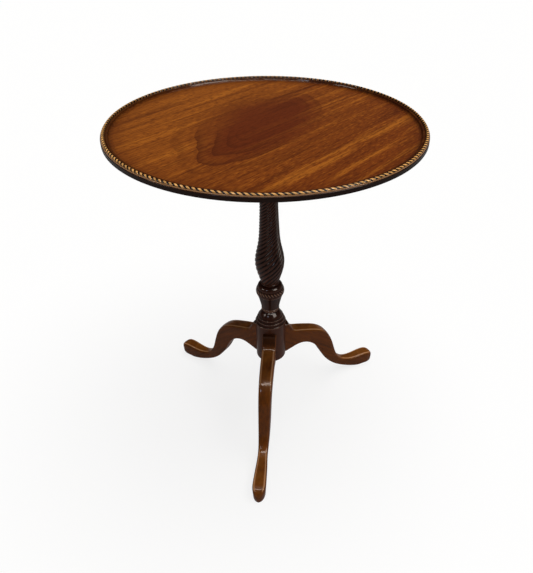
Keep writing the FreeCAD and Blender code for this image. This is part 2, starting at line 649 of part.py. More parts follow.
def catch_screws(clearance=0.0):
    """Brass screws through case and plate into the board, or their holes."""
    screw = countersunk_screw(*BRASS_SCREW, BRASS_SCREW_LENGTH, clearance)
    return [placed(screw, place) for place in catch_screw_places()]


def catch_case_blank():
    """A hat-shaped brass case: two flanges and a channel in which the bolt slides, slotted for the knob."""
    rear = CATCH_FRONT + CATCH_PLATE_LENGTH
    inside = BOLT_WIDTH / 2 + SLIDE_FIT
    outside = inside + CASE_WALL
    channel_foot = BOLT_TOP - BOLT_HEIGHT - SLIDE_FIT
    foot = channel_foot - CASE_WALL
    edge = CATCH_PLATE_WIDTH / 2
    flanges = box(-edge, edge, CATCH_FRONT, rear, PLATE_FOOT - CASE_FLANGE, PLATE_FOOT)
    hat = box(-outside, outside, CATCH_FRONT, rear, foot, PLATE_FOOT)
    channel = box(-inside, inside, CATCH_FRONT, rear, channel_foot, PLATE_FOOT)
    half = KNOB_STEM_RADIUS + KNOB_SLOT_GAP
    slot_start = KNOB_Y - BOLT_TRAVEL
    slot = box(-half, half, slot_start, KNOB_Y, foot, channel_foot)
    for y in (slot_start, KNOB_Y):
        slot = slot.fuse(rod(half, CASE_WALL, Vector(0, y, foot)))
    return flanges.fuse(hat).cut(channel).cut(slot).removeSplitter()


def bolt_blank():
    """The sliding bolt, drawn back, with its nose bevelled below."""
    tail = BOLT_NOSE + BOLT_LENGTH
    foot = BOLT_TOP - BOLT_HEIGHT
    outline = [(BOLT_NOSE, BOLT_TOP), (tail, BOLT_TOP), (tail, foot), (BOLT_NOSE + BOLT_BEVEL, foot),
               (BOLT_NOSE, foot + BOLT_BEVEL)]
    corners = [Vector(-BOLT_WIDTH / 2, y, z) for y, z in outline]
    bar = Part.Face(Part.makePolygon(corners + corners[:1])).extrude(X_AXIS * BOLT_WIDTH)
    return bar.cut(rod(KNOB_STEM_RADIUS + GLUE_GAP, KNOB_STEM_SEAT, Vector(0, KNOB_Y, foot)))


def knob_blank():
    """A turned brass knob whose stem is screwed up into the bolt."""
    foot = BOLT_TOP - BOLT_HEIGHT
    collar_top = foot - SLIDE_FIT - CASE_WALL - KNOB_GAP
    collar_foot = collar_top - KNOB_COLLAR_HEIGHT
    shape = Profile(0, foot + KNOB_STEM_SEAT)
    shape.line(KNOB_STEM_RADIUS, foot + KNOB_STEM_SEAT)
    shape.line(KNOB_STEM_RADIUS, collar_top)
    shape.line(KNOB_COLLAR_RADIUS, collar_top)
    shape.line(KNOB_COLLAR_RADIUS, collar_foot)
    middle = collar_foot - math.sqrt(KNOB_RADIUS ** 2 - KNOB_COLLAR_RADIUS ** 2)
    shape.arc((KNOB_RADIUS, middle), 0, middle - KNOB_RADIUS)
    return placed(shape.turned(), (0, KNOB_Y, 0))


def strike_plate_blank(clearance=0.0):
    """The strike plate in the block's rear face, with the hole that takes the bolt, or its housing."""
    half = STRIKE_WIDTH / 2 + clearance
    low = STRIKE_MIDDLE - STRIKE_HEIGHT / 2 - clearance
    high = STRIKE_MIDDLE + STRIKE_HEIGHT / 2 + clearance
    return box(-half, half, BLOCK_REAR - STRIKE_THICKNESS - clearance, BLOCK_REAR, low, high)


def strike_hole():
    """The way for the bolt's nose through the strike plate and into the block."""
    half = BOLT_WIDTH / 2 + STRIKE_MARGIN
    low = BOLT_TOP - BOLT_HEIGHT - STRIKE_MARGIN
    high = BOLT_TOP + STRIKE_MARGIN
    depth = BOLT_TRAVEL - BOLT_NOSE_GAP + STRIKE_MARGIN
    return box(-half, half, BLOCK_REAR - depth, BLOCK_REAR, low, high)


def strike_screws(clearance=0.0):
    """Two brass screws through the strike plate into the block, or their holes."""
    screw = countersunk_screw(*BRASS_SCREW, BRASS_SCREW_LENGTH, clearance)
    return [placed(screw, (side * STRIKE_SCREW_SPACING / 2, BLOCK_REAR, STRIKE_MIDDLE), Y_AXIS * -1)
            for side in (-1, 1)]


def cut_all(shape, tools):
    """A shape with a list of tools cut from it."""
    for tool in tools:
        shape = shape.cut(tool)
    return shape


def top_pieces():
    """What tips with the top."""
    screw_holes = [bearer_screw_at(place, GLUE_GAP) for place in bearer_screw_places()]
    catch_holes = catch_screws(GLUE_GAP)
    pieces = {
        "tray_top": cut_all(tray_blank(), screw_holes + catch_holes),
        "rope_inlay_light": rope_pieces(0),
        "rope_inlay_dark": rope_pieces(1),
        "bearer_screws": Part.makeCompound([bearer_screw_at(place) for place in bearer_screw_places()]),
        "catch_screws": Part.makeCompound(catch_screws()),
        "catch_case": cut_all(catch_case_blank(), catch_holes),
    }
    for name, side in (("bearer_left", -1), ("bearer_right", 1)):
        pin_hole = pivot_pin(side, PIN_RADIUS + RUNNING_FIT)
        pieces[name] = cut_all(bearer_blank(side), screw_holes + [pin_hole])
    half = CATCH_PLATE_WIDTH / 2
    plate = box(-half, half, CATCH_FRONT, CATCH_FRONT + CATCH_PLATE_LENGTH, PLATE_FOOT, UNDERSIDE)
    pieces["catch_plate"] = cut_all(plate, catch_holes)
    return pieces


def base_pieces():
    """What stands on the floor: pillar, legs, brace and the block with its fittings."""
    nail_holes = brace_nails(GLUE_GAP)
    wedge = wedge_blank()
    sockets = [turned_about_z(dovetail(GLUE_GAP, DRUM_ROUND), angle) for angle in LEG_ANGLES.values()]
    pins = {"pivot_pin_left": pivot_pin(-1, PIN_RADIUS), "pivot_pin_right": pivot_pin(1, PIN_RADIUS)}
    pin_holes = [pivot_pin(side, PIN_RADIUS + GLUE_GAP) for side in (-1, 1)]
    tenon_hole = rod(TENON_RADIUS + GLUE_GAP, BLOCK_THICKNESS, Vector(0, 0, BLOCK_FOOT))
    strike_cuts = [strike_hole(), strike_plate_blank(GLUE_GAP)] + strike_screws(GLUE_GAP)
    brace = rod(BRACE_HUB_RADIUS, BRACE_THICKNESS, Vector(0, 0, PILLAR_FOOT - BRACE_THICKNESS))
    for angle in LEG_ANGLES.values():
        brace = brace.fuse(turned_about_z(brace_arm(), angle))
    pieces = {
        "pillar": cut_all(pillar_blank(), sockets + nail_holes + [wedge]),
        "tenon_wedge": wedge,
        "block": cut_all(block_blank(), [tenon_hole] + pin_holes + strike_cuts),
        "strike_plate": cut_all(strike_plate_blank(), [strike_hole()] + strike_screws(GLUE_GAP)),
        "strike_screws": Part.makeCompound(strike_screws()),
        "leg_brace": cut_all(brace.removeSplitter(), nail_holes),
        "brace_nails": Part.makeCompound(brace_nails(0)),
    }
    pieces.update(pins)
    leg = leg_blank()
    for name, angle in LEG_ANGLES.items():
        pieces[name] = cut_all(turned_about_z(leg, angle), nail_holes)
    return pieces


def bolt_pieces():
    """What slides in the catch."""
    return {"catch_bolt": bolt_blank(), "catch_knob": knob_blank()}


def main():
    """Writes every piece to its own file."""
    os.makedirs("parts", exist_ok=True)
    pieces = {**base_pieces(), **top_pieces(), **bolt_pieces()}
    for name, shape in pieces.items():
        shape.exportStep("parts/" + name + ".step")
        print(name, len(shape.Solids), shape.isValid(), round(shape.Volume, 1))


main()
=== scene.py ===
"""Tray top tea table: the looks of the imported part.

The file is laid out as an add-on and run as a script. Sizes are in millimetres unless a property says
otherwise, and meshes are in metres in the part's own frame.
"""
import math

import bpy
import numpy as np
from bpy.props import FloatProperty, FloatVectorProperty, IntProperty, PointerProperty
from mathutils import Matrix, Vector


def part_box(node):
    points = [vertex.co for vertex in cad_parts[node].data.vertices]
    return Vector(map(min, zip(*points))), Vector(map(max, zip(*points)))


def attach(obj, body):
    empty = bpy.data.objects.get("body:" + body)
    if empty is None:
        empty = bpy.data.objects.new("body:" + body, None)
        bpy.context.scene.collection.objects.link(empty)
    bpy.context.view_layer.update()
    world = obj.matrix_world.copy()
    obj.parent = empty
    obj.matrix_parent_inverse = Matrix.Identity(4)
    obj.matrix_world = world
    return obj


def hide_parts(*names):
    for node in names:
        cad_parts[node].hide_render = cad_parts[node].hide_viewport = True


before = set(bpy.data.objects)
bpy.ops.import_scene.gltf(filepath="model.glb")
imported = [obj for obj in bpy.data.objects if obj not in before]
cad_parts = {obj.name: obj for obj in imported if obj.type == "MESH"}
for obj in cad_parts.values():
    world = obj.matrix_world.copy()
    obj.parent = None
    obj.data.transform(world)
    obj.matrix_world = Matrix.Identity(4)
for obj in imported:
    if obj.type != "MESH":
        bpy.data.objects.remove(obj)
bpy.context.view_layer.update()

bl_info = {
    "name": "Tray Top Tea Table",
    "version": (1, 0, 0),
    "blender": (4, 5, 0),
    "location": "3D View > Sidebar > Tea Table",
    "description": "Dresses a tilt-top tea table in polished mahogany, rope inlay and brass",
    "category": "Add Mesh",
}

MM = 0.001
QUARTER_SWELL = 1 - math.sqrt(0.5)  # how far a quarter circle stands out from its chord, to its radius
CREASE_ANGLE = 40.0          # edges that turn by more than this, in degrees, stay sharp

# Places read from the frame
TOP_RADIUS = -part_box("tray_top")[0].x / MM
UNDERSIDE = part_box("tray_top")[0].z / MM
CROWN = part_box("rope_inlay_light")[1].z / MM
PILLAR_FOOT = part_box("pillar")[0].z / MM
TENON_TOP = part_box("pillar")[1].z / MM
BLOCK_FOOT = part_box("block")[0].z / MM
TOE_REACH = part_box("leg_back")[1].y / MM

# Tray rim, measured down from the rope's crown or in from the edge
FIELD_DROP = 8.0
LEDGE_DROP = 4.6
EDGE_DEPTH = 8.0
EDGE_ROUND = 1.0
UNDERSIDE_SWEEP = 30.0
UNDERSIDE_SWELL = 1.8
LEDGE_WIDTH = 2.0
ROPE_WIDTH = 5.2
ROPE_BED = 1.4
ROPE_SHOULDER = 2.4
STRINGING_WIDTH = 1.0
STRINGING_HEIGHT = 1.3
QUIRK_WIDTH = 1.2
BEAD_WIDTH = 4.6
COVE_WIDTH = 8.0
COVE_HOLLOW = (0.21, 0.79)   # share of the cove across and down at its deepest
GLUE_LINE = 0.05
TRAY_SEGMENTS = 360
ROPE_ROWS = 4                # along each piece of the rope
ROPE_CREASE_ANGLE = 50.0
TONE_SEED = 7                # of the tones that the rope's pieces are given by chance

# Depth of the rim's stain, which on the outer edge also stands for painted shade, as shares
COVE_STAIN = 0.45            # at the top of the cove, from where it fades to the field
UNDERSIDE_STAIN = 0.6
EDGE_STAIN_AND_SHADE = 0.97
# the outer edge: stain together with painted shade
LEDGE_STAIN = 0.9
BEAD_STAIN = 0.62

# Figure of the board
FIGURE_GROWTH = 1.43         # each ring is this much larger than the last
FIGURE_START = 0.47          # moves the rings in or out, as a share of their spacing
FIGURE_SWAY = (50.0, 40.0, 0.0)  # how far the grain wanders
STREAK_OFFSET = (3.1, 5.2, 0.0)  # which stretch of the noise makes the streaks, in cells
EYE_BLUNTNESS = 12.0         # rounds the eye's contours where they cross its long axis
ARCH_ENDS = ((-30.0, -130.0, 0.75), (50.0, 140.0, 0.4))  # where they set in and are full, and how dark

# Straight grain
STREAK_STRETCH = 22          # length of a streak to its width
PORE_WIDTH = 1.1             # coarser than life, so that the pores show
PORE_LENGTH = 16.0

# Pillar turnings from the drum up: radii and heights
DRUM_RADIUS = 33.5
DRUM_HEIGHT = 97.5
DRUM_ROUND = 3.0
STEP_RADII = (34.4, 31.4, 28.4)
STEP_HEIGHT = 7.6
STEP_LIP = 2.6               # height of the bead at the foot of each step
STEP_QUIRK = 0.4             # how far the slope above stands in from the bead
STEP_HOLLOW = (0.55, 0.42)   # share of the slope across and up at its middle
DOME_RADIUS = 26.8
DOME_HEIGHT = 14.0
DOME_SWELL = 1.2
NECK_RADIUS = 17.0
NECK_HEIGHT = 3.5
RING_RADIUS = 20.0
RING_HEIGHT = 6.5
CUP_FOOT_RADIUS = 19.4
CUP_CURVE = ((22.2, 0.37), (24.8, 0.66))  # radius and share of the height
CUP_LIP_RADIUS = 28.6
CUP_HEIGHT = 37.5
GADROON_RADII = (29.0, 28.6)  # at the foot and the top of the notched bead
GADROON_HEIGHT = 15.5
GADROON_SWELL = 2.2
GADROON_NOTCH = 0.6
GADROON_NOTCHES = 2          # to each reed
OVOLO_RADII = (27.6, 18.8)
OVOLO_HEIGHT = 11.7
OVOLO_SWELL = 3.0
COLLAR_RADIUS = 19.8
COLLAR_HEIGHT = 4.0
VASE_FOOT_RADIUS = 18.8
VASE_FLARE = (0.5, 0.36)     # share of the way to the belly, across and up
VASE_BELLY = (31.3, 52.0)
VASE_SHOULDER = (24.3, 97.0)
SHAFT_FOOT = (20.9, 134.0)
SHAFT_RADIUS = 20.1
CAP_HEIGHT = 48.0
CAP_RING_RADIUS = 21.5
CAP_RING_HEIGHT = 5.0
CAP_NECK_RADIUS = 17.0
CAP_FLARE = (0.3, 0.6)
CAP_RADIUS = 27.0
CAP_RIM_HEIGHT = 7.0
CAP_RIM_SWELL = 1.4
TENON_RADIUS = 14.0
RING_SWELL = 0.4             # rings stand out by this share of their height
COLUMNS_PER_REED = 16
REED_FADE = 6.0              # height over which the reeds run out at their ends
REED_FULLNESS = 0.97         # 1 would make a reed's section a whole half circle
DRUM_SHADE = 0.4             # painted shade in the drum's quirks, with rubbing and painted highlight on its crests, as a share of those above it

# Leg outlines as (out from the pillar's axis, height)
LEG_START = 28.0             # hidden inside the drum
BRACKET_TOP = 223.0
BRACKET_EDGE = (40.0, BRACKET_TOP)
BRACKET_CURVE = ((44.4, 211.8), (51.0, 199.7), (62.0, 193.5))
KNEE = (122.0, 171.6)
UPPER_CURVE = ((94.0, 183.4), KNEE, (140.9, 156.5), (166.1, 104.0), (195.0, 44.5), (226.0, 33.5),
               (268.0, 33.5), (284.0, 27.0))
TOE_TIP_HEIGHT = 13.0
ROOT_FLAT = (57.0, 147.6)
LOWER_CURVE = ((76.0, 149.8), (106.1, 133.5), (132.1, 88.5), (172.0, 37.0), (246.0, 0.0))
SOLE_END_INSET = 2.0
SOLE_POINT_INSET = 25.0
TOE_LENGTH = 21.0
TOE_ROOT_HEIGHT = 33.2
LEG_MATCHES = ((BRACKET_EDGE, (40.0, 142.0)), (BRACKET_CURVE[-1], ROOT_FLAT), (KNEE, LOWER_CURVE[1]),
               (UPPER_CURVE[3], LOWER_CURVE[2]), (UPPER_CURVE[4], (183.0, 29.0)),
               (UPPER_CURVE[5], (221.0, 9.0)))  # upper and lower points that one section joins
LEG_ROWS = (3, 12, 10, 16, 16, 12, 12)  # sections between one match and the next
LEG_WIDTHS = ((62.0, 32.0), (123.9, 30.0), (166.1, 25.4), (195.0, 22.0), (226.0, 25.6), (268.0, 29.0))
TOE_ROWS = 24
TOE_CLOSE = 0.97             # share of the quarter turn after which a flat cap closes the toe
LEG_DRAUGHT = 0.05           # how fast the sides draw in below the upper edges
LEG_DRAUGHT_MOST = 2.2
SHOULDER_STEEPNESS = 1.8     # drop of the rounded upper edges to their reach across
LOWER_ROUND = 1.6
ARRIS_WEAR_AND_HIGHLIGHT = (0, 0, 0.1, 0.3, 0.6, 1, 1)  # rubbing and painted highlight round the upper edge, from the side to the upper face
# rubbing and painted top light on the upper face
FACE_WEAR_AND_TOP_LIGHT = 0.7
WEAR_AND_TOP_LIGHT_SPREAD = 1.15           # upper faces take their full rubbing and painted top light where this times the cosine of their slope is 1 or more
ROOT_FADE = 5.0              # length over which painted shade takes over from rubbing and painted light at the root
GRAIN_SLOPE = -40.0          # of the grain in the legs, in degrees
LEG_ANGLES = {"leg_back": 90.0, "leg_left": 210.0, "leg_right": 330.0}

# Stage: levels are plain factors, and lamps have places and sizes in metres
ROOM_LEVEL = 0.12            # how bright the room is to all but the camera
FLOOR_SIZE = 30.0
FLOOR_WHITENESS = 0.8        # share of white in the floor where it is looked at
SKY_LEVEL = 3.0
SKY_SPREAD = 60.0            # in degrees, as is the next
SKY_LEAN = (8.0, 6.0, 0.0)
GLEAM_AIM = (0, 0, 0.45)     # where the lamps below point
GLEAMS = (("window", (-0.1, -2.1, 2.0), (1.4, 1.4), 200, "#FFF6EC"),  # place, size, watts and colour
          ("doorway", (-2.2, -0.1, 1.8), (0.35, 0.35), 20, "#DCE8FF"),
          ("side_window", (-1.7, 1.2, 1.5), (0.7, 0.7), 36, "#FFF6EC"),
          ("ceiling", (-0.95, -0.6, 2.2), (1.8, 0.3), 80, "#FFF6EC"))

# Fittings and frame
WELD_GAP = 0.01
EASE_ANGLE = 40.0            # edges that turn by more than this, in degrees, are eased
FRAME_EDGE = 0.8             # widths of the eased edges
BEARER_EDGE = 0.5
WEDGE_EDGE = 0.2
FITTING_EDGE = 0.3
SAWN_MAHOGANY = (7.0, "#3B1E10", "#6A3D22", 0.55)  # width of the streaks, dark, light and roughness
BARE_OAK = (3.0, "#6B4A2A", "#A47C4C", 0.6)


def linear(code):
    """An sRGB hex colour as linear red, green and blue."""
    values = np.array([int(code[i:i + 2], 16) for i in (1, 3, 5)]) / 255
    low = values / 12.92
    high = ((values + 0.055) / 1.055) ** 2.4
    return tuple(float(v) for v in np.where(values <= 0.04045, low, high))


def colour_property(label, words, code):
    """A colour given by its hex code."""
    return FloatVectorProperty(name=label, description=words, default=linear(code), subtype="COLOR",
                               size=3, min=0.0, max=1.0)


def length_property(label, words, value):
    """A length given in millimetres."""
    return FloatProperty(name=label, description=words, default=value * MM, unit="LENGTH")


def angle_property(label, words, degrees):
    """An angle given in degrees."""
    return FloatProperty(name=label, description=words, default=math.radians(degrees), subtype="ANGLE")


def place_property(label, words, spot):
    """A place given in millimetres."""
    return FloatVectorProperty(name=label, description=words, default=[value * MM for value in spot],
                               subtype="XYZ", unit="LENGTH")


class TrayLook(bpy.types.PropertyGroup):
    """Sizes and colours of the dished top and its rope inlay."""
    rope_pairs: IntProperty(name="Rope pairs", description="Light and dark pieces in pairs round the rim",
                            default=190, min=24, max=400)
    rope_slant: angle_property("Rope slant", "Lean of the rope's joints", 42)
    rope_puff: length_property("Rope puff", "How far each piece swells between its joints", 0.4)
    grain_turn: angle_property("Grain turn", "Turn of the board's grain from the X axis", -6)
    heart_place: place_property("Heart place", "Middle of the board's dark eye", (4, 11, 0))
    heart_turn: angle_property("Heart turn", "Turn of the dark eye from the X axis", 9)
    heart_length: length_property("Heart length", "Length of the dark eye", 394)
    heart_width: length_property("Heart width", "Width of the dark eye", 190)
    patch_place: place_property("Patch place", "Middle of the golden patch, from the eye's", (-200, 25, 0))
    heart: colour_property("Heart", "Dark eye in the middle of the board", "#5A230D")
    body: colour_property("Body", "Middle tone of the board", "#70350F")
    gold: colour_property("Gold", "Light streaks of the board", "#A6601D")
    # line also colours the painted shadow along the rim's foot
    line: colour_property("Line", "Dark lines and pores of the board", "#481D09")
    # the rim's stain, which on the outer edge also stands for painted shade
    rim: colour_property("Rim", "Stained rim", "#120502")
    light_rope: colour_property("Light rope", "Pale pieces of the rope", "#F2B468")
    # painted shade at the foot and inner side of the pale pieces, also the tint of their pores
    rope_shade_and_pores: colour_property("Rope foot", "Grime at the foot of the pale pieces", "#5E3A1E")
    stringing: colour_property("Stringing", "Pale line outside the rope", "#A97C55")
    dark_rope: colour_property("Dark rope", "Dark pieces of the rope", "#17110E")


class PillarLook(bpy.types.PropertyGroup):
    """Reeding and colours of the turned pillar."""
    reeds: IntProperty(name="Reeds", description="Spiral reeds round the shaft", default=14, min=6, max=24)
    reed_depth: length_property("Reed depth", "Depth of the grooves on the shaft", 1.4)
    shaft_lead: length_property("Shaft lead", "Rise of a reed in one turn of the shaft", 100)
    vase_lead: length_property("Vase lead", "Rise of a reed in one turn of the vase", 178)
    # also the colour of the painted shade in the grooves
    dark: colour_property("Dark", "Wood in the grooves", "#100705")
    body: colour_property("Body", "Middle tone of the pillar", "#2A130B")
    # lighter tone on the reeds: rubbing and painted highlight
    worn: colour_property("Worn", "Wood rubbed lighter on the reeds", "#4A281A")
    # palest on the beads: rubbing and painted highlight
    crest: colour_property("Crest", "Wood rubbed palest on the beads", "#94705A")


class LegLook(bpy.types.PropertyGroup):
    """Rounding and colours of the legs."""
    edge_round: length_property("Edge round", "Rounding of the upper edges", 4.2)
    crown: length_property("Crown", "Rise of the upper face across the leg", 0.8)
    dark: colour_property("Dark", "Dark grain", "#4C270D")
    body: colour_property("Body", "Middle tone of the legs", "#69350D")
    # rubbed lighter, which on the upward faces also stands for painted top light
    worn: colour_property("Worn", "Wood rubbed lighter on the upper faces", "#86511F")
    # palest along the upper edges: rubbing and painted highlight
    arris: colour_property("Arris", "Wood rubbed palest along the upper edges", "#CB986D")


class StageLook(bpy.types.PropertyGroup):
    """Camera and floor."""
    camera_place: place_property("Camera place", "Where the camera stands", (-776.2, -566.9, 1061.9))
    heading: angle_property("Heading", "Camera's turn from +Y towards +X", 57.652)
    pitch: angle_property("Pitch", "Camera's tilt below level", 31.184)
    roll: angle_property("Roll", "Camera's turn about its own line of sight", 1.061)
    lens: FloatProperty(name="Lens", description="Focal length in millimetres, 36 mm sensor", default=34.55)
    shift_x: FloatProperty(name="Shift X", description="Sideways shift of the frame", default=-0.0591)
    shift_y: FloatProperty(name="Shift Y", description="Upward shift of the frame", default=-0.1013)
    floor: colour_property("Floor", "Pale floor", "#F7F6F4")


def settings(context):
    """The four groups of properties: tray, pillar, legs and stage."""
    scene = context.scene
    return scene.tea_table_tray, scene.tea_table_pillar, scene.tea_table_legs, scene.tea_table_stage


def straight(start, end, guard=0.6):
    """A straight stretch with extra points close to its ends, which keep the shading of its flat even."""
    start, end = np.array(start, float), np.array(end, float)
    run = end - start
    share = min(guard / max(np.linalg.norm(run), 1e-9), 0.4)
    return start + run * np.array([0, share, 1 - share, 1])[:, None]


def bow(start, end, swell, count=7):
    """An arc of a circle on a chord, standing out to the right of its run by the swell."""
    start, end = np.array(start, float), np.array(end, float)
    half = np.linalg.norm(end - start) / 2
    along = (end - start) / (2 * half)
    side = np.array([along[1], -along[0]])
    radius = (half ** 2 + swell ** 2) / (2 * swell)
    reach = math.atan2(half, radius - swell)
    turn = np.linspace(-reach, reach, count)[:, None]
    centre = (start + end) / 2 + side * (swell - radius)
    return centre + radius * (np.cos(turn) * side + np.sin(turn) * along)


def end_slope(points, knots):
    """The slope of the parabola through three points, at the first of them."""
    near = (points[1] - points[0]) / (knots[1] - knots[0])
    far = (points[2] - points[1]) / (knots[2] - knots[1])
    return near - (far - near) * (knots[1] - knots[0]) / (knots[2] - knots[0])


def smooth_curve(points, count, lead_in=None):
    """A cubic spline through points, with knots at their chord lengths, read at even steps.

    Its second derivatives solve the usual three-term system; each end keeps the slope of a parabola through
    its three points, or the lead-in direction where one is given.
    """
    points = np.array(points, float)
    steps = np.linalg.norm(np.diff(points, axis=0), axis=1)
    knots = np.concatenate([[0], np.cumsum(steps)])
    slopes = np.diff(points, axis=0) / steps[:, None]
    if lead_in is None:
        first = end_slope(points, knots)
    else:
        first = np.array(lead_in, float) / np.linalg.norm(lead_in)
    last = end_slope(points[::-1], knots[::-1])
    system = np.diag(2 * (np.append(steps, 0) + np.insert(steps, 0, 0)))
    system += np.diag(steps, 1) + np.diag(steps, -1)
    right = 6 * np.diff(np.concatenate([[first], slopes, [last]]), axis=0)
    bend = np.linalg.solve(system, right)
    at = np.linspace(0, knots[-1], count)
    span = np.clip(np.searchsorted(knots, at, side="right") - 1, 0, len(steps) - 1)
    step = steps[span][:, None]
    before = (at - knots[span])[:, None]
    after = step - before
    curved = bend[span] * after ** 3 + bend[span + 1] * before ** 3
    start = (points[span] / step - bend[span] * step / 6) * after
    end = (points[span + 1] / step - bend[span + 1] * step / 6) * before
    return curved / (6 * step) + start + end


def flare(start, shares, end, count=16):
    """A smooth curve by way of points that are shares of the run across and up."""
    start, end = np.array(start, float), np.array(end, float)
    inner = [start + (end - start) * np.array(share) for share in shares]
    return smooth_curve([start, *inner, end], count)


def joined(*stretches):
    """Stretches of an outline in one chain, without repeated points."""
    chain = np.concatenate([np.atleast_2d(np.array(stretch, float)) for stretch in stretches])
    fresh = np.linalg.norm(np.diff(chain, axis=0), axis=1) > 1e-6
    return chain[np.insert(fresh, 0, True)]


def turned(profile, segments):
    """A grid of points: each (radius, height) of the profile carried round the Z axis."""
    turn = np.linspace(0, 2 * math.pi, segments, endpoint=False)
    radius, height = profile[:, :1], profile[:, 1:]
    return np.stack([radius * np.cos(turn), radius * np.sin(turn), height + 0 * turn], axis=-1)


def grid_faces(count, rows, columns):
    """Corner numbers of the squares of some grids whose columns close on themselves."""
    index = np.arange(count * rows * columns).reshape(count, rows, columns)
    index = np.concatenate([index, index[..., :1]], axis=2)
    corners = (index[:, :-1, :-1], index[:, :-1, 1:], index[:, 1:, 1:], index[:, 1:, :-1])
    return np.stack(corners, axis=-1).reshape(-1, 4)


def outward(points, faces):
    """The faces, turned round where the volume they enclose comes out negative."""
    a, b, c, d = (points[faces[:, i]] for i in range(4))
    volume = np.einsum("ij,ij->", a, np.cross(b, c)) + np.einsum("ij,ij->", a, np.cross(c, d))
    return faces if volume > 0 else faces[:, ::-1]


def make_piece(name, points, material, values=None, crease=CREASE_ANGLE):
    """An object from one grid of points in millimetres, or from a stack of such grids.

    Points in the same place become one, so seams and poles close, and a face that loses a corner becomes a
    triangle. Named values are spread over the points as attributes. Edges sharper than the crease angle stay
    sharp.
    """
    corners = points.reshape(-1, 3)
    spots, kept, moved = np.unique(np.round(corners, 5) + 0.0, axis=0, return_index=True, return_inverse=True)
    count = len(corners) // (points.shape[-3] * points.shape[-2])
    faces = outward(spots, moved.reshape(-1)[grid_faces(count, *points.shape[-3:-1])])
    same = faces == np.roll(faces, -1, axis=1)
    squares = faces[same.sum(axis=1) == 0]
    thin = same.sum(axis=1) == 1
    triangles = faces[thin][~same[thin]].reshape(-1, 3)
    mesh = bpy.data.meshes.new(name)
    mesh.from_pydata((spots * MM).tolist(), [], squares.tolist() + triangles.tolist())
    for label, value in (values or {}).items():
        vector = np.shape(value) == points.shape
        value = np.broadcast_to(value, points.shape if vector else points.shape[:-1])
        field = mesh.attributes.new(label, "FLOAT_VECTOR" if vector else "FLOAT", "POINT")
        value = value.reshape(len(corners), -1)[kept].astype(float)
        field.data.foreach_set("vector" if vector else "value", value.ravel())
    mesh.shade_smooth()
    mesh.set_sharp_from_angle(angle=math.radians(crease))
    mesh.materials.append(material)
    piece = bpy.data.objects.new(name, mesh)
    bpy.context.collection.objects.link(piece)
    return piece


def place_piece(piece, body, slot, *nodes):
    """Rides a piece on its body and puts it in place of any CAD nodes it stands for."""
    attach(piece, body)
    for node in nodes:
        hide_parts(node)


def add(tree, kind, output, inputs=None, **options):
    """Adds a node with its options, fills its inputs with values or links, and gives back one output."""
    node = tree.nodes.new("ShaderNode" + kind)
    for option, value in options.items():
        setattr(node, option, value)
    for socket, value in (inputs or {}).items():
        if isinstance(value, bpy.types.NodeSocket):
            tree.links.new(value, node.inputs[socket])
        else:
            node.inputs[socket].default_value = value
    return node if output is None else node.outputs[output]


# Sockets of a colour Mix node, whose names repeat
FACTOR, FIRST, SECOND, MIXED = 0, 6, 7, 2
# How a tint sets in between its two levels
EVEN, SOFT = "LINEAR", "SMOOTHSTEP"


def per_mm(*lengths):
    """Pattern scales, in cells per metre, for cells of these lengths in millimetres."""
    return tuple(1 / (length * MM) for length in lengths)


def new_material(name):
    """An empty node material and its tree."""
    material = bpy.data.materials.new(name)
    material.use_nodes = True
    material.node_tree.nodes.clear()
    return material, material.node_tree


def surface(tree, height, strength, depth, sockets):
    """The shader of a material, with small relief of a depth in millimetres."""
    normal = add(tree, "Bump", "Normal", {"Height": height, "Strength": strength, "Distance": depth * MM})
    shader = add(tree, "BsdfPrincipled", "BSDF", {"Normal": normal, **sockets})
    add(tree, "OutputMaterial", None, {"Surface": shader})


def polish(tree, base, height, roughness, coat=0.0, depth=0.08):
    """A wood surface with its pores, under a coat of old wax so thin that its shine is weak."""
    surface(tree, height, strength=0.5, depth=depth, sockets={
        "Base Color": base, "Roughness": roughness, "IOR": 1.5, "Specular IOR Level": 0.01,
        "Coat Weight": coat, "Coat Roughness": 0.1})


def stained(tree, base, layers):
    """A colour with tints laid over it in turn.

    Each layer has a value, two levels, a depth, an ease and a tint. The tint sets in where the value is at
    the first level, and has its full depth where it is at the second.
    """
    for value, start, end, depth, ease, tint in layers:
        amount = add(tree, "MapRange", "Result", {
            "Value": value, "From Min": start, "From Max": end, "To Max": depth}, interpolation_type=ease)
        base = add(tree, "Mix", MIXED, {FACTOR: amount, FIRST: base, SECOND: (*tint, 1)}, data_type="RGBA")
    return base


def straight_grain(tree, place, axis, width, dark, light):
    """Colour and pore height of straight-grained wood: streaks and pores drawn out along one axis."""
    streak = [width, width, width]
    streak[axis] = width * STREAK_STRETCH
    pore = [PORE_WIDTH, PORE_WIDTH, PORE_WIDTH]
    pore[axis] = PORE_LENGTH
    stretched = add(tree, "Mapping", "Vector", {"Vector": place, "Scale": per_mm(*streak)})
    streaks = add(tree, "TexNoise", "Fac", {
        "Vector": stretched, "Scale": 1.0, "Detail": 5.0, "Roughness": 0.62, "Distortion": 0.4})
    fine = add(tree, "Mapping", "Vector", {"Vector": place, "Scale": per_mm(*pore)})
    pores = add(tree, "TexNoise", "Fac", {"Vector": fine, "Scale": 1.0, "Detail": 2.0})
    shade = [0.45 * value for value in dark]
    base = stained(tree, (*dark, 1), (
        (streaks, 0.34, 0.68, 1, EVEN, light),
        (pores, 0.42, 0.3, 0.45, EVEN, shade)))
    return base, pores


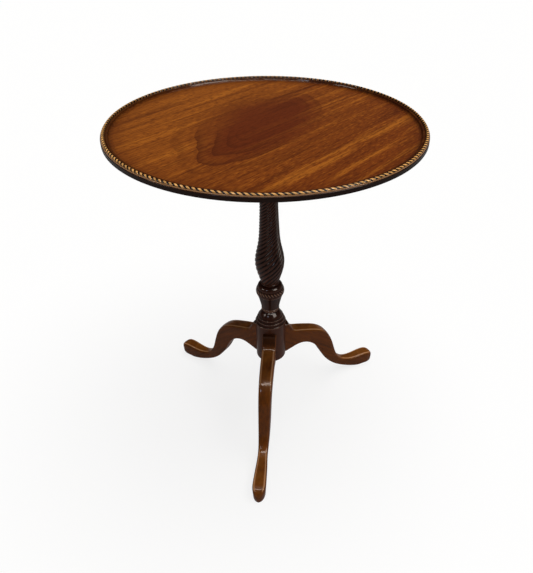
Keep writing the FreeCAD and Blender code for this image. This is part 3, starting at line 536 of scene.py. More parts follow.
def eye_contours(tree, look, from_heart, along):
    """Places swayed as the grain wanders, along and across the board's dark eye, and the contours round it.

    The contours are lens shaped: the distance across the eye plus the square of the distance along it, each
    as a share of its size.
    """
    eye = add(tree, "Mapping", "Vector", {"Vector": from_heart, "Rotation": (0, 0, -look.heart_turn)})
    broad = add(tree, "Mapping", "Vector", {"Vector": along, "Scale": per_mm(130, 60, 60)})
    sway = add(tree, "TexNoise", "Color", {"Vector": broad, "Scale": 1.0, "Detail": 1.5, "Roughness": 0.45})
    sway = add(tree, "VectorMath", "Vector", {0: sway, 1: (0.5, 0.5, 0.5)}, operation="SUBTRACT")
    reach = [length * MM for length in FIGURE_SWAY]
    sway = add(tree, "VectorMath", "Vector", {0: sway, 1: reach}, operation="MULTIPLY")
    swayed = add(tree, "VectorMath", "Vector", {0: eye, 1: sway}, operation="ADD")
    parts = add(tree, "SeparateXYZ", None, {"Vector": swayed})
    far, side = parts.outputs["X"], parts.outputs["Y"]
    blunted = add(tree, "CombineXYZ", "Vector", {"X": side, "Y": EYE_BLUNTNESS * MM})
    across = add(tree, "VectorMath", "Value", {0: blunted}, operation="LENGTH")
    across = add(tree, "Math", 0, {0: across, 1: look.heart_width / 2}, operation="DIVIDE")
    square = add(tree, "Math", 0, {0: far, 1: far}, operation="MULTIPLY")
    lens = add(tree, "Math", 0, {
        0: square, 1: 4 / look.heart_length ** 2, 2: across}, operation="MULTIPLY_ADD")
    return swayed, far, side, lens


def eye_arches(tree, far, lens, bands):
    """How dark the arches at the ends of the eye are.

    They are rings on its contours, evenly spaced in the logarithm of their size, crisp on their outer sides
    and pulled about by the streaks.
    """
    growth = add(tree, "Math", 0, {0: lens, 1: FIGURE_GROWTH}, operation="LOGARITHM")
    growth = add(tree, "Math", 0, {0: bands, 1: 0.6, 2: growth}, operation="MULTIPLY_ADD")
    growth = add(tree, "Math", 0, {0: growth, 1: FIGURE_START}, operation="ADD")
    growth = add(tree, "Math", 0, {0: growth}, operation="FRACT")
    rings = add(tree, "MapRange", "Result", {"Value": growth, "From Min": 0.45, "From Max": 1.0})
    at_one, at_other = [add(tree, "MapRange", "Result", {
        "Value": far, "From Min": start * MM, "From Max": end * MM, "To Max": depth}, interpolation_type=SOFT)
        for start, end, depth in ARCH_ENDS]
    at_ends = add(tree, "Math", 0, {0: at_one, 1: at_other}, operation="ADD")
    near = add(tree, "MapRange", "Result", {
        "Value": lens, "From Min": 1.7, "From Max": 1.2}, interpolation_type=SOFT)
    arches = add(tree, "Math", 0, {0: rings, 1: at_ends}, operation="MULTIPLY")
    return add(tree, "Math", 0, {0: arches, 1: near}, operation="MULTIPLY")


def figured_mahogany(look):
    """French-polished figured mahogany: a dark eye, arches at its ends, golden streaks, threads and pores.

    The board drifts to gold towards one side, and has a golden patch beyond the eye. Pores are drawn coarser
    than life so that they show. The rim is stained nearly black, and on its outer edge the stain is deepened
    as painted shade. The shadow that the rim casts is painted along its foot, and the underside is dry.
    """
    material, tree = new_material("figured_mahogany")
    place = add(tree, "TexCoord", "Object")
    from_heart = add(tree, "VectorMath", "Vector", {0: place, 1: look.heart_place}, operation="SUBTRACT")
    along = add(tree, "Mapping", "Vector", {"Vector": from_heart, "Rotation": (0, 0, -look.grain_turn)})
    swayed, far, side, lens = eye_contours(tree, look, from_heart, along)
    bands = add(tree, "Mapping", "Vector", {
        "Vector": along, "Scale": per_mm(420, 24, 24), "Location": STREAK_OFFSET})
    bands = add(tree, "TexNoise", "Fac", {
        "Vector": bands, "Scale": 1.0, "Detail": 6.0, "Roughness": 0.62, "Distortion": 0.2})
    arches = eye_arches(tree, far, lens, bands)
    threads = add(tree, "Mapping", "Vector", {"Vector": along, "Scale": per_mm(150, 3.6, 3.6)})
    threads = add(tree, "TexNoise", "Fac", {"Vector": threads, "Scale": 1.0, "Detail": 3.0, "Roughness": 0.6})
    fine = add(tree, "Mapping", "Vector", {"Vector": along, "Scale": per_mm(13, 2.4, 2.4)})
    pores = add(tree, "TexNoise", "Fac", {"Vector": fine, "Scale": 1.0, "Detail": 2.0})
    ragged = add(tree, "Math", 0, {0: bands, 1: 0.5, 2: lens}, operation="MULTIPLY_ADD")
    to_patch = add(tree, "VectorMath", "Value", {0: swayed, 1: look.patch_place}, operation="DISTANCE")
    flat = add(tree, "VectorMath", "Vector", {0: place, 1: (1, 1, 0)}, operation="MULTIPLY")
    from_axis = add(tree, "VectorMath", "Value", {0: flat}, operation="LENGTH")
    rim = add(tree, "Attribute", "Fac", attribute_name="rim")
    base = stained(tree, (*look.body, 1), (
        (side, -200 * MM, 200 * MM, 0.45, EVEN, look.gold),       # drift towards one side
        (bands, 0.52, 0.66, 0.8, SOFT, look.gold),                # light streaks
        (to_patch, 150 * MM, 30 * MM, 0.8, SOFT, look.gold),      # golden patch
        (bands, 0.47, 0.3, 0.7, SOFT, look.line),                 # dark streaks
        (pores, 0.56, 0.74, 0.6, EVEN, look.gold),                # flecks
        (ragged, 1.65, 0.7, 0.9, SOFT, look.heart),               # eye
        (arches, 0, 1, 1, EVEN, look.line),
        (threads, 0.48, 0.34, 0.55, EVEN, look.line),
        (pores, 0.5, 0.3, 0.7, EVEN, look.line),
        (from_axis, 245 * MM, 273 * MM, 0.45, EVEN, look.line),   # painted shadow cast by the rim along its foot
        # stain of the rim, deepened on the outer edge as painted shade
        (rim, 0, 1, 1, EVEN, look.rim)))
    height = add(tree, "SeparateXYZ", "Z", {"Vector": place})
    dry = add(tree, "MapRange", "Result", {
        "Value": height, "From Min": (CROWN - LEDGE_DROP) * MM, "From Max": UNDERSIDE * MM,
        "To Min": 0.4, "To Max": 0.8})
    polish(tree, base, pores, dry, coat=0.1)
    return material


def turned_mahogany(look):
    """Dark polished mahogany off the lathe: grain along the pillar, black in the grooves as painted shade,
    and lighter on the crests from rubbing and painted highlight.

    The pillar grows browner towards its foot.
    """
    material, tree = new_material("turned_mahogany")
    place = add(tree, "TexCoord", "Object")
    base, pores = straight_grain(tree, place, 2, 5.0, look.dark, look.body)
    height = add(tree, "SeparateXYZ", "Z", {"Vector": place})
    hollow = add(tree, "Attribute", "Fac", attribute_name="hollow")
    base = stained(tree, base, (
        # browner towards the foot
        (height, 310 * MM, 200 * MM, 0.7, EVEN, look.worn),
        # lighter on the flats and crests: rubbing and painted highlight
        (hollow, 0.3, 0.0, 0.55, EVEN, look.worn),
        # painted shade in the grooves, quirks and notches
        (hollow, 0.35, 1.0, 0.85, EVEN, look.dark),
        # palest on the crests of the beads: rubbing and painted highlight
        (hollow, 0.0, -1.0, 0.7, EVEN, look.crest)))
    polish(tree, base, pores, 0.4, coat=0.13)
    return material


def leg_mahogany(look):
    """Polished mahogany sawn along the leg: slanting grain, upper faces rubbed and painted lighter as top
    light, a painted highlight on their edges and painted shade at the root.
    """
    material, tree = new_material("leg_mahogany")
    place = add(tree, "Attribute", "Vector", attribute_name="grain")
    base, pores = straight_grain(tree, place, 0, 6.0, look.dark, look.body)
    wear = add(tree, "Attribute", "Fac", attribute_name="wear")
    patchy = add(tree, "TexNoise", "Fac", {"Vector": place, "Scale": per_mm(30)[0], "Detail": 3.0})
    patchy = add(tree, "MapRange", "Result", {"Value": patchy, "From Min": 0.3, "From Max": 0.65})
    rubbed = add(tree, "Math", 0, {0: wear, 1: patchy}, operation="MULTIPLY")
    # colour of the painted shade at the root
    shade = [0.4 * value for value in look.dark]
    base = stained(tree, base, (
        # rubbed colour, which on the upward faces also stands for painted top light
        (rubbed, 0, 1, 1, EVEN, look.worn),
        # painted shade at the root
        (wear, 0.0, -1.0, 0.8, EVEN, shade),
        # palest along the upper edges: rubbing and painted highlight
        (wear, 0.75, 1.0, 0.6, EVEN, look.arris)))
    dull = add(tree, "MapRange", "Result", {
        "Value": wear, "From Min": 0.05, "From Max": 0.4, "To Min": 0.55, "To Max": 0.35})
    polish(tree, base, pores, dull, coat=0.1)
    return material


def rope_wood(name, tint, foot, roughness):
    """Inlay wood in short pieces, waxed with the board: each differs in tone, with painted shade at its foot
    and on its inner side.
    """
    material, tree = new_material(name)
    place = add(tree, "TexCoord", "Object")
    fine = add(tree, "TexNoise", "Fac", {"Vector": place, "Scale": per_mm(1.5)[0], "Detail": 3.0})
    tone = add(tree, "Attribute", "Fac", attribute_name="tone")
    bright = add(tree, "Attribute", "Fac", attribute_name="bright")
    dull = [0.6 * value for value in tint]
    base = stained(tree, (*dull, 1), (
        (tone, 0, 1, 1, EVEN, tint),
        # painted shade: darker at the foot of each piece and on its inner side
        (bright, 1, 0, 1, EVEN, foot),
        (fine, 0.5, 0.3, 0.35, EVEN, foot)))
    polish(tree, base, fine, roughness, coat=0.15)
    return material


def sawn_wood(name, axis, width, dark, light, roughness):
    """Unpolished wood of the hidden frame: open grain along one axis and a dry surface."""
    material, tree = new_material(name)
    place = add(tree, "TexCoord", "Object")
    base, pores = straight_grain(tree, place, axis, width, linear(dark), linear(light))
    polish(tree, base, pores, roughness, depth=0.2)
    return material


def aged_brass():
    """Cast brass gone brown in its corners: warm metal with dull tarnish clouds and fine scratches."""
    material, tree = new_material("aged_brass")
    place = add(tree, "TexCoord", "Object")
    clouds = add(tree, "TexNoise", "Fac", {"Vector": place, "Scale": per_mm(9)[0], "Detail": 5.0})
    scratches = add(tree, "Mapping", "Vector", {"Vector": place, "Scale": per_mm(0.5, 12, 0.5)})
    scratches = add(tree, "TexNoise", "Fac", {"Vector": scratches, "Scale": 1.0, "Detail": 2.0})
    base = stained(tree, (*linear("#B98F45"), 1), ((clouds, 0.42, 0.66, 1, EVEN, linear("#6A4A24")),))
    rough = add(tree, "MapRange", "Result", {
        "Value": clouds, "From Min": 0.42, "From Max": 0.66, "To Min": 0.28, "To Max": 0.55})
    surface(tree, scratches, strength=0.3, depth=0.03, sockets={
        "Base Color": base, "Roughness": rough, "Metallic": 1.0})
    return material


def forged_iron():
    """Blackened wrought iron: hammer marks, scale and a little brown rust."""
    material, tree = new_material("forged_iron")
    place = add(tree, "TexCoord", "Object")
    dents = add(tree, "TexVoronoi", "Distance", {"Vector": place, "Scale": per_mm(7)[0]}, feature="SMOOTH_F1")
    rust = add(tree, "TexNoise", "Fac", {"Vector": place, "Scale": per_mm(6)[0], "Detail": 6.0})
    base = stained(tree, (*linear("#2C2A28"), 1), ((rust, 0.52, 0.72, 0.7, EVEN, linear("#4A2E1D")),))
    surface(tree, dents, strength=0.5, depth=0.4, sockets={
        "Base Color": base, "Roughness": 0.6, "Metallic": 0.8})
    return material


def tray_outline():
    """The board's half section, from the middle of its underside round the rim to the middle of its field."""
    ledge = CROWN - LEDGE_DROP
    field = CROWN - FIELD_DROP
    edge_foot = ledge - EDGE_DEPTH
    rope_outer = TOP_RADIUS - LEDGE_WIDTH
    rope_inner = rope_outer - ROPE_WIDTH
    quirk = rope_inner - QUIRK_WIDTH
    bead = quirk - BEAD_WIDTH
    sweep = TOP_RADIUS - UNDERSIDE_SWEEP
    cove = flare((bead, ledge), (COVE_HOLLOW,), (bead - COVE_WIDTH, field), 10)
    return joined(
        straight((0, UNDERSIDE), (sweep, UNDERSIDE)),
        bow((sweep, UNDERSIDE), (TOP_RADIUS, edge_foot), UNDERSIDE_SWELL, 11),
        straight((TOP_RADIUS, edge_foot), (TOP_RADIUS, ledge - EDGE_ROUND)),
        bow((TOP_RADIUS, ledge - EDGE_ROUND), (TOP_RADIUS - EDGE_ROUND, ledge),
            EDGE_ROUND * QUARTER_SWELL, 5),
        (rope_outer, ledge), (rope_outer, ledge - ROPE_BED),
        (rope_inner, ledge - ROPE_BED), (rope_inner, ledge), (quirk, ledge),
        bow((quirk, ledge), (bead, ledge), BEAD_WIDTH / 2, 9),
        cove, straight((bead - COVE_WIDTH, field), (0, field)))


def rim_stain_and_shade(outline):
    """How dark the stain is along the board's outline: deepest on the edge, where it is also painted shade,
    fading down the cove.
    """
    out, height = outline.T
    rope_outer = TOP_RADIUS - LEDGE_WIDTH
    bead = rope_outer - ROPE_WIDTH - QUIRK_WIDTH - BEAD_WIDTH
    down_cove = np.clip((out - bead + COVE_WIDTH) / COVE_WIDTH, 0, 1)
    below = height < CROWN - LEDGE_DROP - EDGE_ROUND - 0.01
    upper_face = height > UNDERSIDE + EDGE_DEPTH
    inside_edge = below & (out < TOP_RADIUS - UNDERSIDE_SWEEP)
    return np.select([upper_face & (out < bead), inside_edge, below, out > rope_outer],
                     [COVE_STAIN * down_cove, UNDERSIDE_STAIN, EDGE_STAIN_AND_SHADE, LEDGE_STAIN], BEAD_STAIN)


def rope_points(pairs, slant, puff, first):
    """Every second piece of the rope as (piece, row, column, xyz), and each column's painted light and shade.

    A round-topped section is carried along a short arc of the rim. Its joints lean both ways with the slant,
    and it swells a little between them. The first and last rows are the middles of the end faces.
    """
    outer = TOP_RADIUS - LEDGE_WIDTH - GLUE_LINE
    inner = outer - ROPE_WIDTH + 2 * GLUE_LINE
    floor = CROWN - LEDGE_DROP - ROPE_BED
    spring = CROWN - ROPE_SHOULDER
    middle = (outer + inner) / 2
    section = joined((inner, floor), (outer, floor), bow((outer, spring), (inner, spring), ROPE_SHOULDER, 8))
    step = math.pi / pairs
    share = np.linspace(-1, 1, ROPE_ROWS)
    out, height = section[:, 0], section[:, 1]
    lift = (height - floor) / (CROWN - floor)
    shrink = puff * share[:, None] ** 2 * lift
    heights = height - shrink
    outs = middle + (out - middle) * (1 - shrink / (outer - middle) / 2)
    lean = math.tan(slant) * ((out - middle) - (height - (floor + CROWN) / 2)) / middle
    turn = (first + 2 * np.arange(pairs)) * step
    half = step / 2 - GLUE_LINE / middle
    angle = turn[:, None, None] + (share[:, None] * half + lean)[None]
    points = np.stack([outs * np.cos(angle), outs * np.sin(angle), heights + 0 * angle], axis=-1)
    ends = points.mean(axis=2, keepdims=True)[:, [0, -1]] + 0 * points[:, [0, -1]]
    # painted light: lit on the crown, painted shade towards the foot and deeper on the inner side
    bright = np.clip((height - spring + 1) / (CROWN - spring), 0, 1) * np.where(out < middle - 1, 0.3, 1)
    return np.concatenate([ends[:, :1], points, ends[:, 1:]], axis=1), bright


def stringing_outline():
    """The section of the thin line of pale wood that lies along the outside of the rope, as a closed loop."""
    inner = TOP_RADIUS - LEDGE_WIDTH
    outer = inner + STRINGING_WIDTH
    foot = CROWN - LEDGE_DROP
    top = foot + STRINGING_HEIGHT
    return joined((inner, foot), (outer, foot), bow((outer, top), (inner, top), STRINGING_WIDTH / 2, 6),
                  (inner, foot))


def turned_bead(radius, height, level):
    """A bead that stands out to its radius from a foot set in by its swell."""
    foot = radius - height * RING_SWELL
    return bow((foot, level), (foot, level + height), height * RING_SWELL, 8)


def pillar_outline():
    """The pillar's half section from foot to tenon, and the levels of its notched bead and its reeding."""
    level = PILLAR_FOOT + DRUM_HEIGHT
    steps = []
    for radius, above in zip(STEP_RADII, STEP_RADII[1:]):
        slope_foot = (radius - STEP_LIP * RING_SWELL - STEP_QUIRK, level + STEP_LIP)
        slope_top = (above - STEP_LIP * RING_SWELL, level + STEP_HEIGHT)
        steps += [turned_bead(radius, STEP_LIP, level), flare(slope_foot, (STEP_HOLLOW,), slope_top, 6)]
        level += STEP_HEIGHT
    steps.append(turned_bead(STEP_RADII[-1], STEP_LIP, level))
    dome_foot = level + STEP_LIP
    dome_top = dome_foot + DOME_HEIGHT
    ring_foot = dome_top + NECK_HEIGHT
    cup_foot = ring_foot + RING_HEIGHT
    cup_top = cup_foot + CUP_HEIGHT
    gadroon_top = cup_top + GADROON_HEIGHT
    collar_foot = gadroon_top + OVOLO_HEIGHT
    reed_foot = collar_foot + COLLAR_HEIGHT
    reed_top = BLOCK_FOOT - CAP_HEIGHT
    drum_foot = (DRUM_RADIUS - DRUM_ROUND, PILLAR_FOOT)
    drum_side = (DRUM_RADIUS, PILLAR_FOOT + DRUM_ROUND)
    cup = [(radius, cup_foot + CUP_HEIGHT * share) for radius, share in CUP_CURVE]
    vase_foot = np.array([VASE_FOOT_RADIUS, reed_foot])
    belly = np.array([VASE_BELLY[0], reed_foot + VASE_BELLY[1]])
    vase = [vase_foot, vase_foot + (belly - vase_foot) * VASE_FLARE, belly,
            (VASE_SHOULDER[0], reed_foot + VASE_SHOULDER[1]), (SHAFT_FOOT[0], reed_foot + SHAFT_FOOT[1]),
            (SHAFT_RADIUS, reed_top)]
    cap_rim = (CAP_RADIUS, BLOCK_FOOT - CAP_RIM_HEIGHT)
    outline = joined(
        straight((0, PILLAR_FOOT), drum_foot),
        bow(drum_foot, drum_side, DRUM_ROUND * QUARTER_SWELL, 6),
        straight(drum_side, (DRUM_RADIUS, PILLAR_FOOT + DRUM_HEIGHT)),
        *steps,
        bow((DOME_RADIUS, dome_foot), (NECK_RADIUS, dome_top), DOME_SWELL, 10),
        straight((NECK_RADIUS, dome_top), (NECK_RADIUS, ring_foot)),
        turned_bead(RING_RADIUS, RING_HEIGHT, ring_foot),
        smooth_curve([(CUP_FOOT_RADIUS, cup_foot), *cup, (CUP_LIP_RADIUS, cup_top)], 20),
        bow((GADROON_RADII[0], cup_top), (GADROON_RADII[1], gadroon_top), GADROON_SWELL, 14),
        bow((OVOLO_RADII[0], gadroon_top), (OVOLO_RADII[1], collar_foot), OVOLO_SWELL, 12),
        turned_bead(COLLAR_RADIUS, COLLAR_HEIGHT, collar_foot),
        smooth_curve(vase, 130),
        turned_bead(CAP_RING_RADIUS, CAP_RING_HEIGHT, reed_top),
        flare((CAP_NECK_RADIUS, reed_top + CAP_RING_HEIGHT), (CAP_FLARE,), cap_rim),
        bow(cap_rim, (CAP_RADIUS, BLOCK_FOOT), CAP_RIM_SWELL),
        straight((TENON_RADIUS, BLOCK_FOOT), (TENON_RADIUS, TENON_TOP)),
        straight((TENON_RADIUS, TENON_TOP), (0, TENON_TOP)))
    return outline, gadroon_top, reed_foot, reed_top


def valleys(outline):
    """How sheltered each point of an outline is, for painted shade: 1 at a deep quirk, 0.25 on the flat,
    below 0 on a crest.
    """
    runs = np.diff(outline, axis=0)
    before, after = runs[:-1], runs[1:]
    turn = np.arctan2(before[:, 0] * after[:, 1] - before[:, 1] * after[:, 0], (before * after).sum(axis=1))
    return np.pad(np.clip(0.25 - turn / math.radians(40), -1, 1), 1)


def reeded_pillar(look):
    """The turned outline with spiral reeds: a grid that twists with the reeds, and how hollow each point is,
    for painted shade.

    Across a reed the radius falls from its crest as a half circle does, and the twist grows with height at
    one turn per lead, so each column of the grid stays on one reed.
    """
    outline, gadroon_top, reed_foot, reed_top = pillar_outline()
    radius, height = outline.T
    inside = (height >= reed_foot) & (height <= reed_top)
    rise = np.clip(height, reed_foot, reed_top)
    shaft_share = np.clip((rise - reed_foot - VASE_BELLY[1]) / (SHAFT_FOOT[1] - VASE_BELLY[1]), 0, 1)
    lead = (look.vase_lead + (look.shaft_lead - look.vase_lead) * shaft_share) / MM
    twist = np.insert(np.cumsum(np.diff(rise) * 2 * math.pi / lead[1:]), 0, 0)
    ends = np.clip((rise - reed_foot) / REED_FADE, 0, 1) * np.clip((reed_top - rise) / REED_FADE, 0, 1)
    depth = look.reed_depth / MM * ends * (radius / SHAFT_RADIUS) ** 0.5 * inside
    bead_share = np.clip((height - gadroon_top) / GADROON_HEIGHT + 1, 0, 1)
    notch = GADROON_NOTCH * np.sin(math.pi * np.clip(2 * bead_share - 1, 0, 1))
    columns = look.reeds * COLUMNS_PER_REED
    across = np.arange(columns) % COLUMNS_PER_REED / COLUMNS_PER_REED * 2 - 1
    hollow = 1 - np.sqrt(1 - REED_FULLNESS * across ** 2)
    hollow = hollow / hollow.max()
    turn = np.arange(columns) * 2 * math.pi / columns + twist[:, None]
    notched = np.abs(np.sin(math.pi * (GADROON_NOTCHES * across / 2 + 2 * bead_share[:, None]))) ** 4
    cut = radius[:, None] - depth[:, None] * hollow - notch[:, None] * notched
    points = np.stack([cut * np.cos(turn), cut * np.sin(turn), height[:, None] + 0 * turn], axis=-1)
    # painted shade in the reeds' grooves
    dark = np.clip(depth / (look.reed_depth / MM), 0, 1)[:, None] * hollow
    # painted shade in the quirks and lighter crests of the turnings, less on the drum
    plain = np.where(height < PILLAR_FOOT + DRUM_HEIGHT, DRUM_SHADE, 1) * valleys(outline)
    # painted shade in the bead's notches and painted highlight between them
    bead = notch[:, None] / GADROON_NOTCH * (2 * notched - 1)
    return points, np.where(inside[:, None], dark, np.where(notch[:, None] > 0, bead, plain[:, None]))


def along_outline(outline, spots):
    """Lengths along an outline to each of its points, and to those that lie nearest to some spots."""
    lengths = np.insert(np.cumsum(np.linalg.norm(np.diff(outline, axis=0), axis=1)), 0, 0)
    gaps = np.linalg.norm(outline[None] - np.array(spots, float)[:, None], axis=2)
    return lengths, lengths[gaps.argmin(axis=1)]


def leg_stations():
    """Matching points along the leg's upper and lower outlines, from the drum to the toe, and the toe's oval.

    The oval is the share of the leg's width that is left: the cosine of a quarter turn, whose sine is the way
    gone through the toe, so the toe is half an ellipse from its sole to its top.
    """
    toe = (TOE_REACH, TOE_TIP_HEIGHT)
    sole_end = (TOE_REACH - SOLE_END_INSET, 0)
    upper = joined(straight((LEG_START, BRACKET_TOP), BRACKET_EDGE),
                   smooth_curve([BRACKET_EDGE, *BRACKET_CURVE], 24),
                   smooth_curve([BRACKET_CURVE[-1], *UPPER_CURVE, toe], 300))
    lower = joined(straight((LEG_START, PILLAR_FOOT), (DRUM_RADIUS, PILLAR_FOOT)),
                   straight((DRUM_RADIUS, PILLAR_FOOT), ROOT_FLAT),
                   smooth_curve([ROOT_FLAT, *LOWER_CURVE], 260),
                   smooth_curve([LOWER_CURVE[-1], (TOE_REACH - SOLE_POINT_INSET, 0), sole_end], 30))
    toe_root = ((TOE_REACH - TOE_LENGTH, TOE_ROOT_HEIGHT), (sole_end[0] - TOE_LENGTH, 0))
    pairs = (((LEG_START, BRACKET_TOP), (LEG_START, PILLAR_FOOT)), *LEG_MATCHES, toe_root)
    lengths_up, keys_up = along_outline(upper, [pair[0] for pair in pairs])
    lengths_low, keys_low = along_outline(lower, [pair[1] for pair in pairs])
    share = np.concatenate([k + np.arange(n) / n for k, n in enumerate(LEG_ROWS)])
    stop = np.arange(len(pairs))
    at_up, at_low = np.interp(share, stop, keys_up), np.interp(share, stop, keys_low)
    read = [np.stack([np.interp(at, lengths, line[:, i]) for i in (0, 1)], axis=1)
            for at, lengths, line in ((at_up, lengths_up, upper), (at_low, lengths_low, lower))]
    turn = np.linspace(0, TOE_CLOSE * math.pi / 2, TOE_ROWS)
    closing = TOE_LENGTH * (np.sin(turn) - 1)
    ends = [np.stack([end + closing, np.interp(end + closing, *line.T)], axis=1)
            for end, line in ((TOE_REACH, upper), (sole_end[0], lower))]
    oval = np.concatenate([np.ones(len(share)), np.cos(turn)])
    return [np.concatenate(halves) for halves in zip(read, ends)] + [oval]


def half_width(out):
    """Half the leg's width at a distance out: widest at the root and waisted at the ankle."""
    waist = smooth_curve(LEG_WIDTHS, 80, lead_in=(1, 0))
    return np.interp(out, waist[:, 0], waist[:, 1]) / 2


def leg_points(look):
    """The leg on the +X side as a grid of sections from drum to toe, with how worn each point is and its
    painted light and shade.

    Each section stands on a lower point and reaches its upper point. Its lower corners are slightly round,
    its upper corners rounder, and its upper face is crowned. The first and last rows close the ends.
    """
    upper, lower, oval = leg_stations()
    oval = oval[:, None]
    tall = np.linalg.norm(upper - lower, axis=1)[:, None]
    narrow = half_width(upper[:, :1]) * oval
    top_round = np.minimum(look.edge_round / MM, narrow * 0.9)
    top_drop = np.minimum(SHOULDER_STEEPNESS * top_round, tall * 0.45)
    low_round = np.minimum(np.minimum(LOWER_ROUND, tall * 0.2), narrow * 0.5)
    crown = np.minimum(look.crown / MM, top_round * 0.4)
    low_turn = np.radians(np.linspace(-90, 0, 4))
    top_turn = np.radians(np.linspace(0, 90, 7))
    flat = np.array([0, 0.5])
    side = np.array([0.25, 0.5, 0.75])
    face = np.array([0.75, 0.5, 0.25, 0])
    # Shares of the width and both rounds across, of the height, both rounds and the crown upwards, and
    # rubbing with painted light
    runs = ((flat, flat, 0, 0, 0, 0, 0, 0),
            (1, 1 - np.cos(low_turn), 0, 0, 1 + np.sin(low_turn), 0, 0, 0),
            (1, 0, 0, side, 1 - side, -side, -side, 0),
            (1, 0, 1 - np.cos(top_turn), 1, 0, np.sin(top_turn) - 1, -1, ARRIS_WEAR_AND_HIGHLIGHT),
            (face, 0, face, 1, 0, 0, -face ** 2, FACE_WEAR_AND_TOP_LIGHT))
    section = np.concatenate([np.stack(np.broadcast_arrays(*run)) for run in runs], axis=1)
    reach, low_in, top_in, up_tall, up_low, up_top, up_crown, wear = section
    up = tall * up_tall + low_round * up_low + top_drop * up_top + crown * up_crown
    share = np.clip(up / tall, 0, 1)[..., None]
    spot = lower[:, None] + share * (upper - lower)[:, None]
    drawn_in = np.minimum(LEG_DRAUGHT * (1 - share[..., 0]) * tall, LEG_DRAUGHT_MOST)
    wide = (half_width(spot[..., 0]) - drawn_in) * oval
    across = np.clip(wide * reach - low_round * low_in - top_round * top_in, 0, None)
    right = np.stack([spot[..., 0], across, spot[..., 1]], axis=-1)
    ring = np.concatenate([right, right[:, -2:0:-1] * (1, -1, 1)], axis=1)
    wear = np.concatenate([wear, wear[-2:0:-1]])
    facing = wear > 0.5
    ends = 0 * ring[[0, -1]] + ring[[0, -1]].mean(axis=1, keepdims=True)
    points = np.concatenate([ends[:1], ring, ends[1:]])
    slope = np.gradient(upper, axis=0)
    # how level the upper outline lies: level faces take their full rubbing and painted top light
    level = np.minimum(WEAR_AND_TOP_LIGHT_SPREAD * np.abs(slope[:, 0]) / np.linalg.norm(slope, axis=1), 1)
    wear = np.pad(level ** 2, 1, mode="edge")[:, None] * wear
    # painted shade on the upward faces near the root, in place of rubbing and painted light
    root = np.clip((BRACKET_CURVE[1][0] - points[..., 0]) / ROOT_FADE, 0, 1) * facing
    return points, wear * (1 - root) - root


def finish_node(node, material, edge, clamp=True):
    """Gives a CAD node its material and eases its edges by a width in millimetres.

    Clamping keeps the eased edges from overlapping, but a step of a few hundredths of a millimetre in a hole
    would then leave all edges sharp, so a node with such steps goes without.
    """
    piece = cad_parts[node]
    piece.data.materials.clear()
    piece.data.materials.append(material)
    weld = piece.modifiers.new("weld", "WELD")
    weld.merge_threshold = WELD_GAP * MM
    bevel = piece.modifiers.new("ease", "BEVEL")
    bevel.width = edge * MM
    bevel.segments = 2
    bevel.limit_method = "ANGLE"
    bevel.angle_limit = math.radians(EASE_ANGLE)
    bevel.use_clamp_overlap = clamp


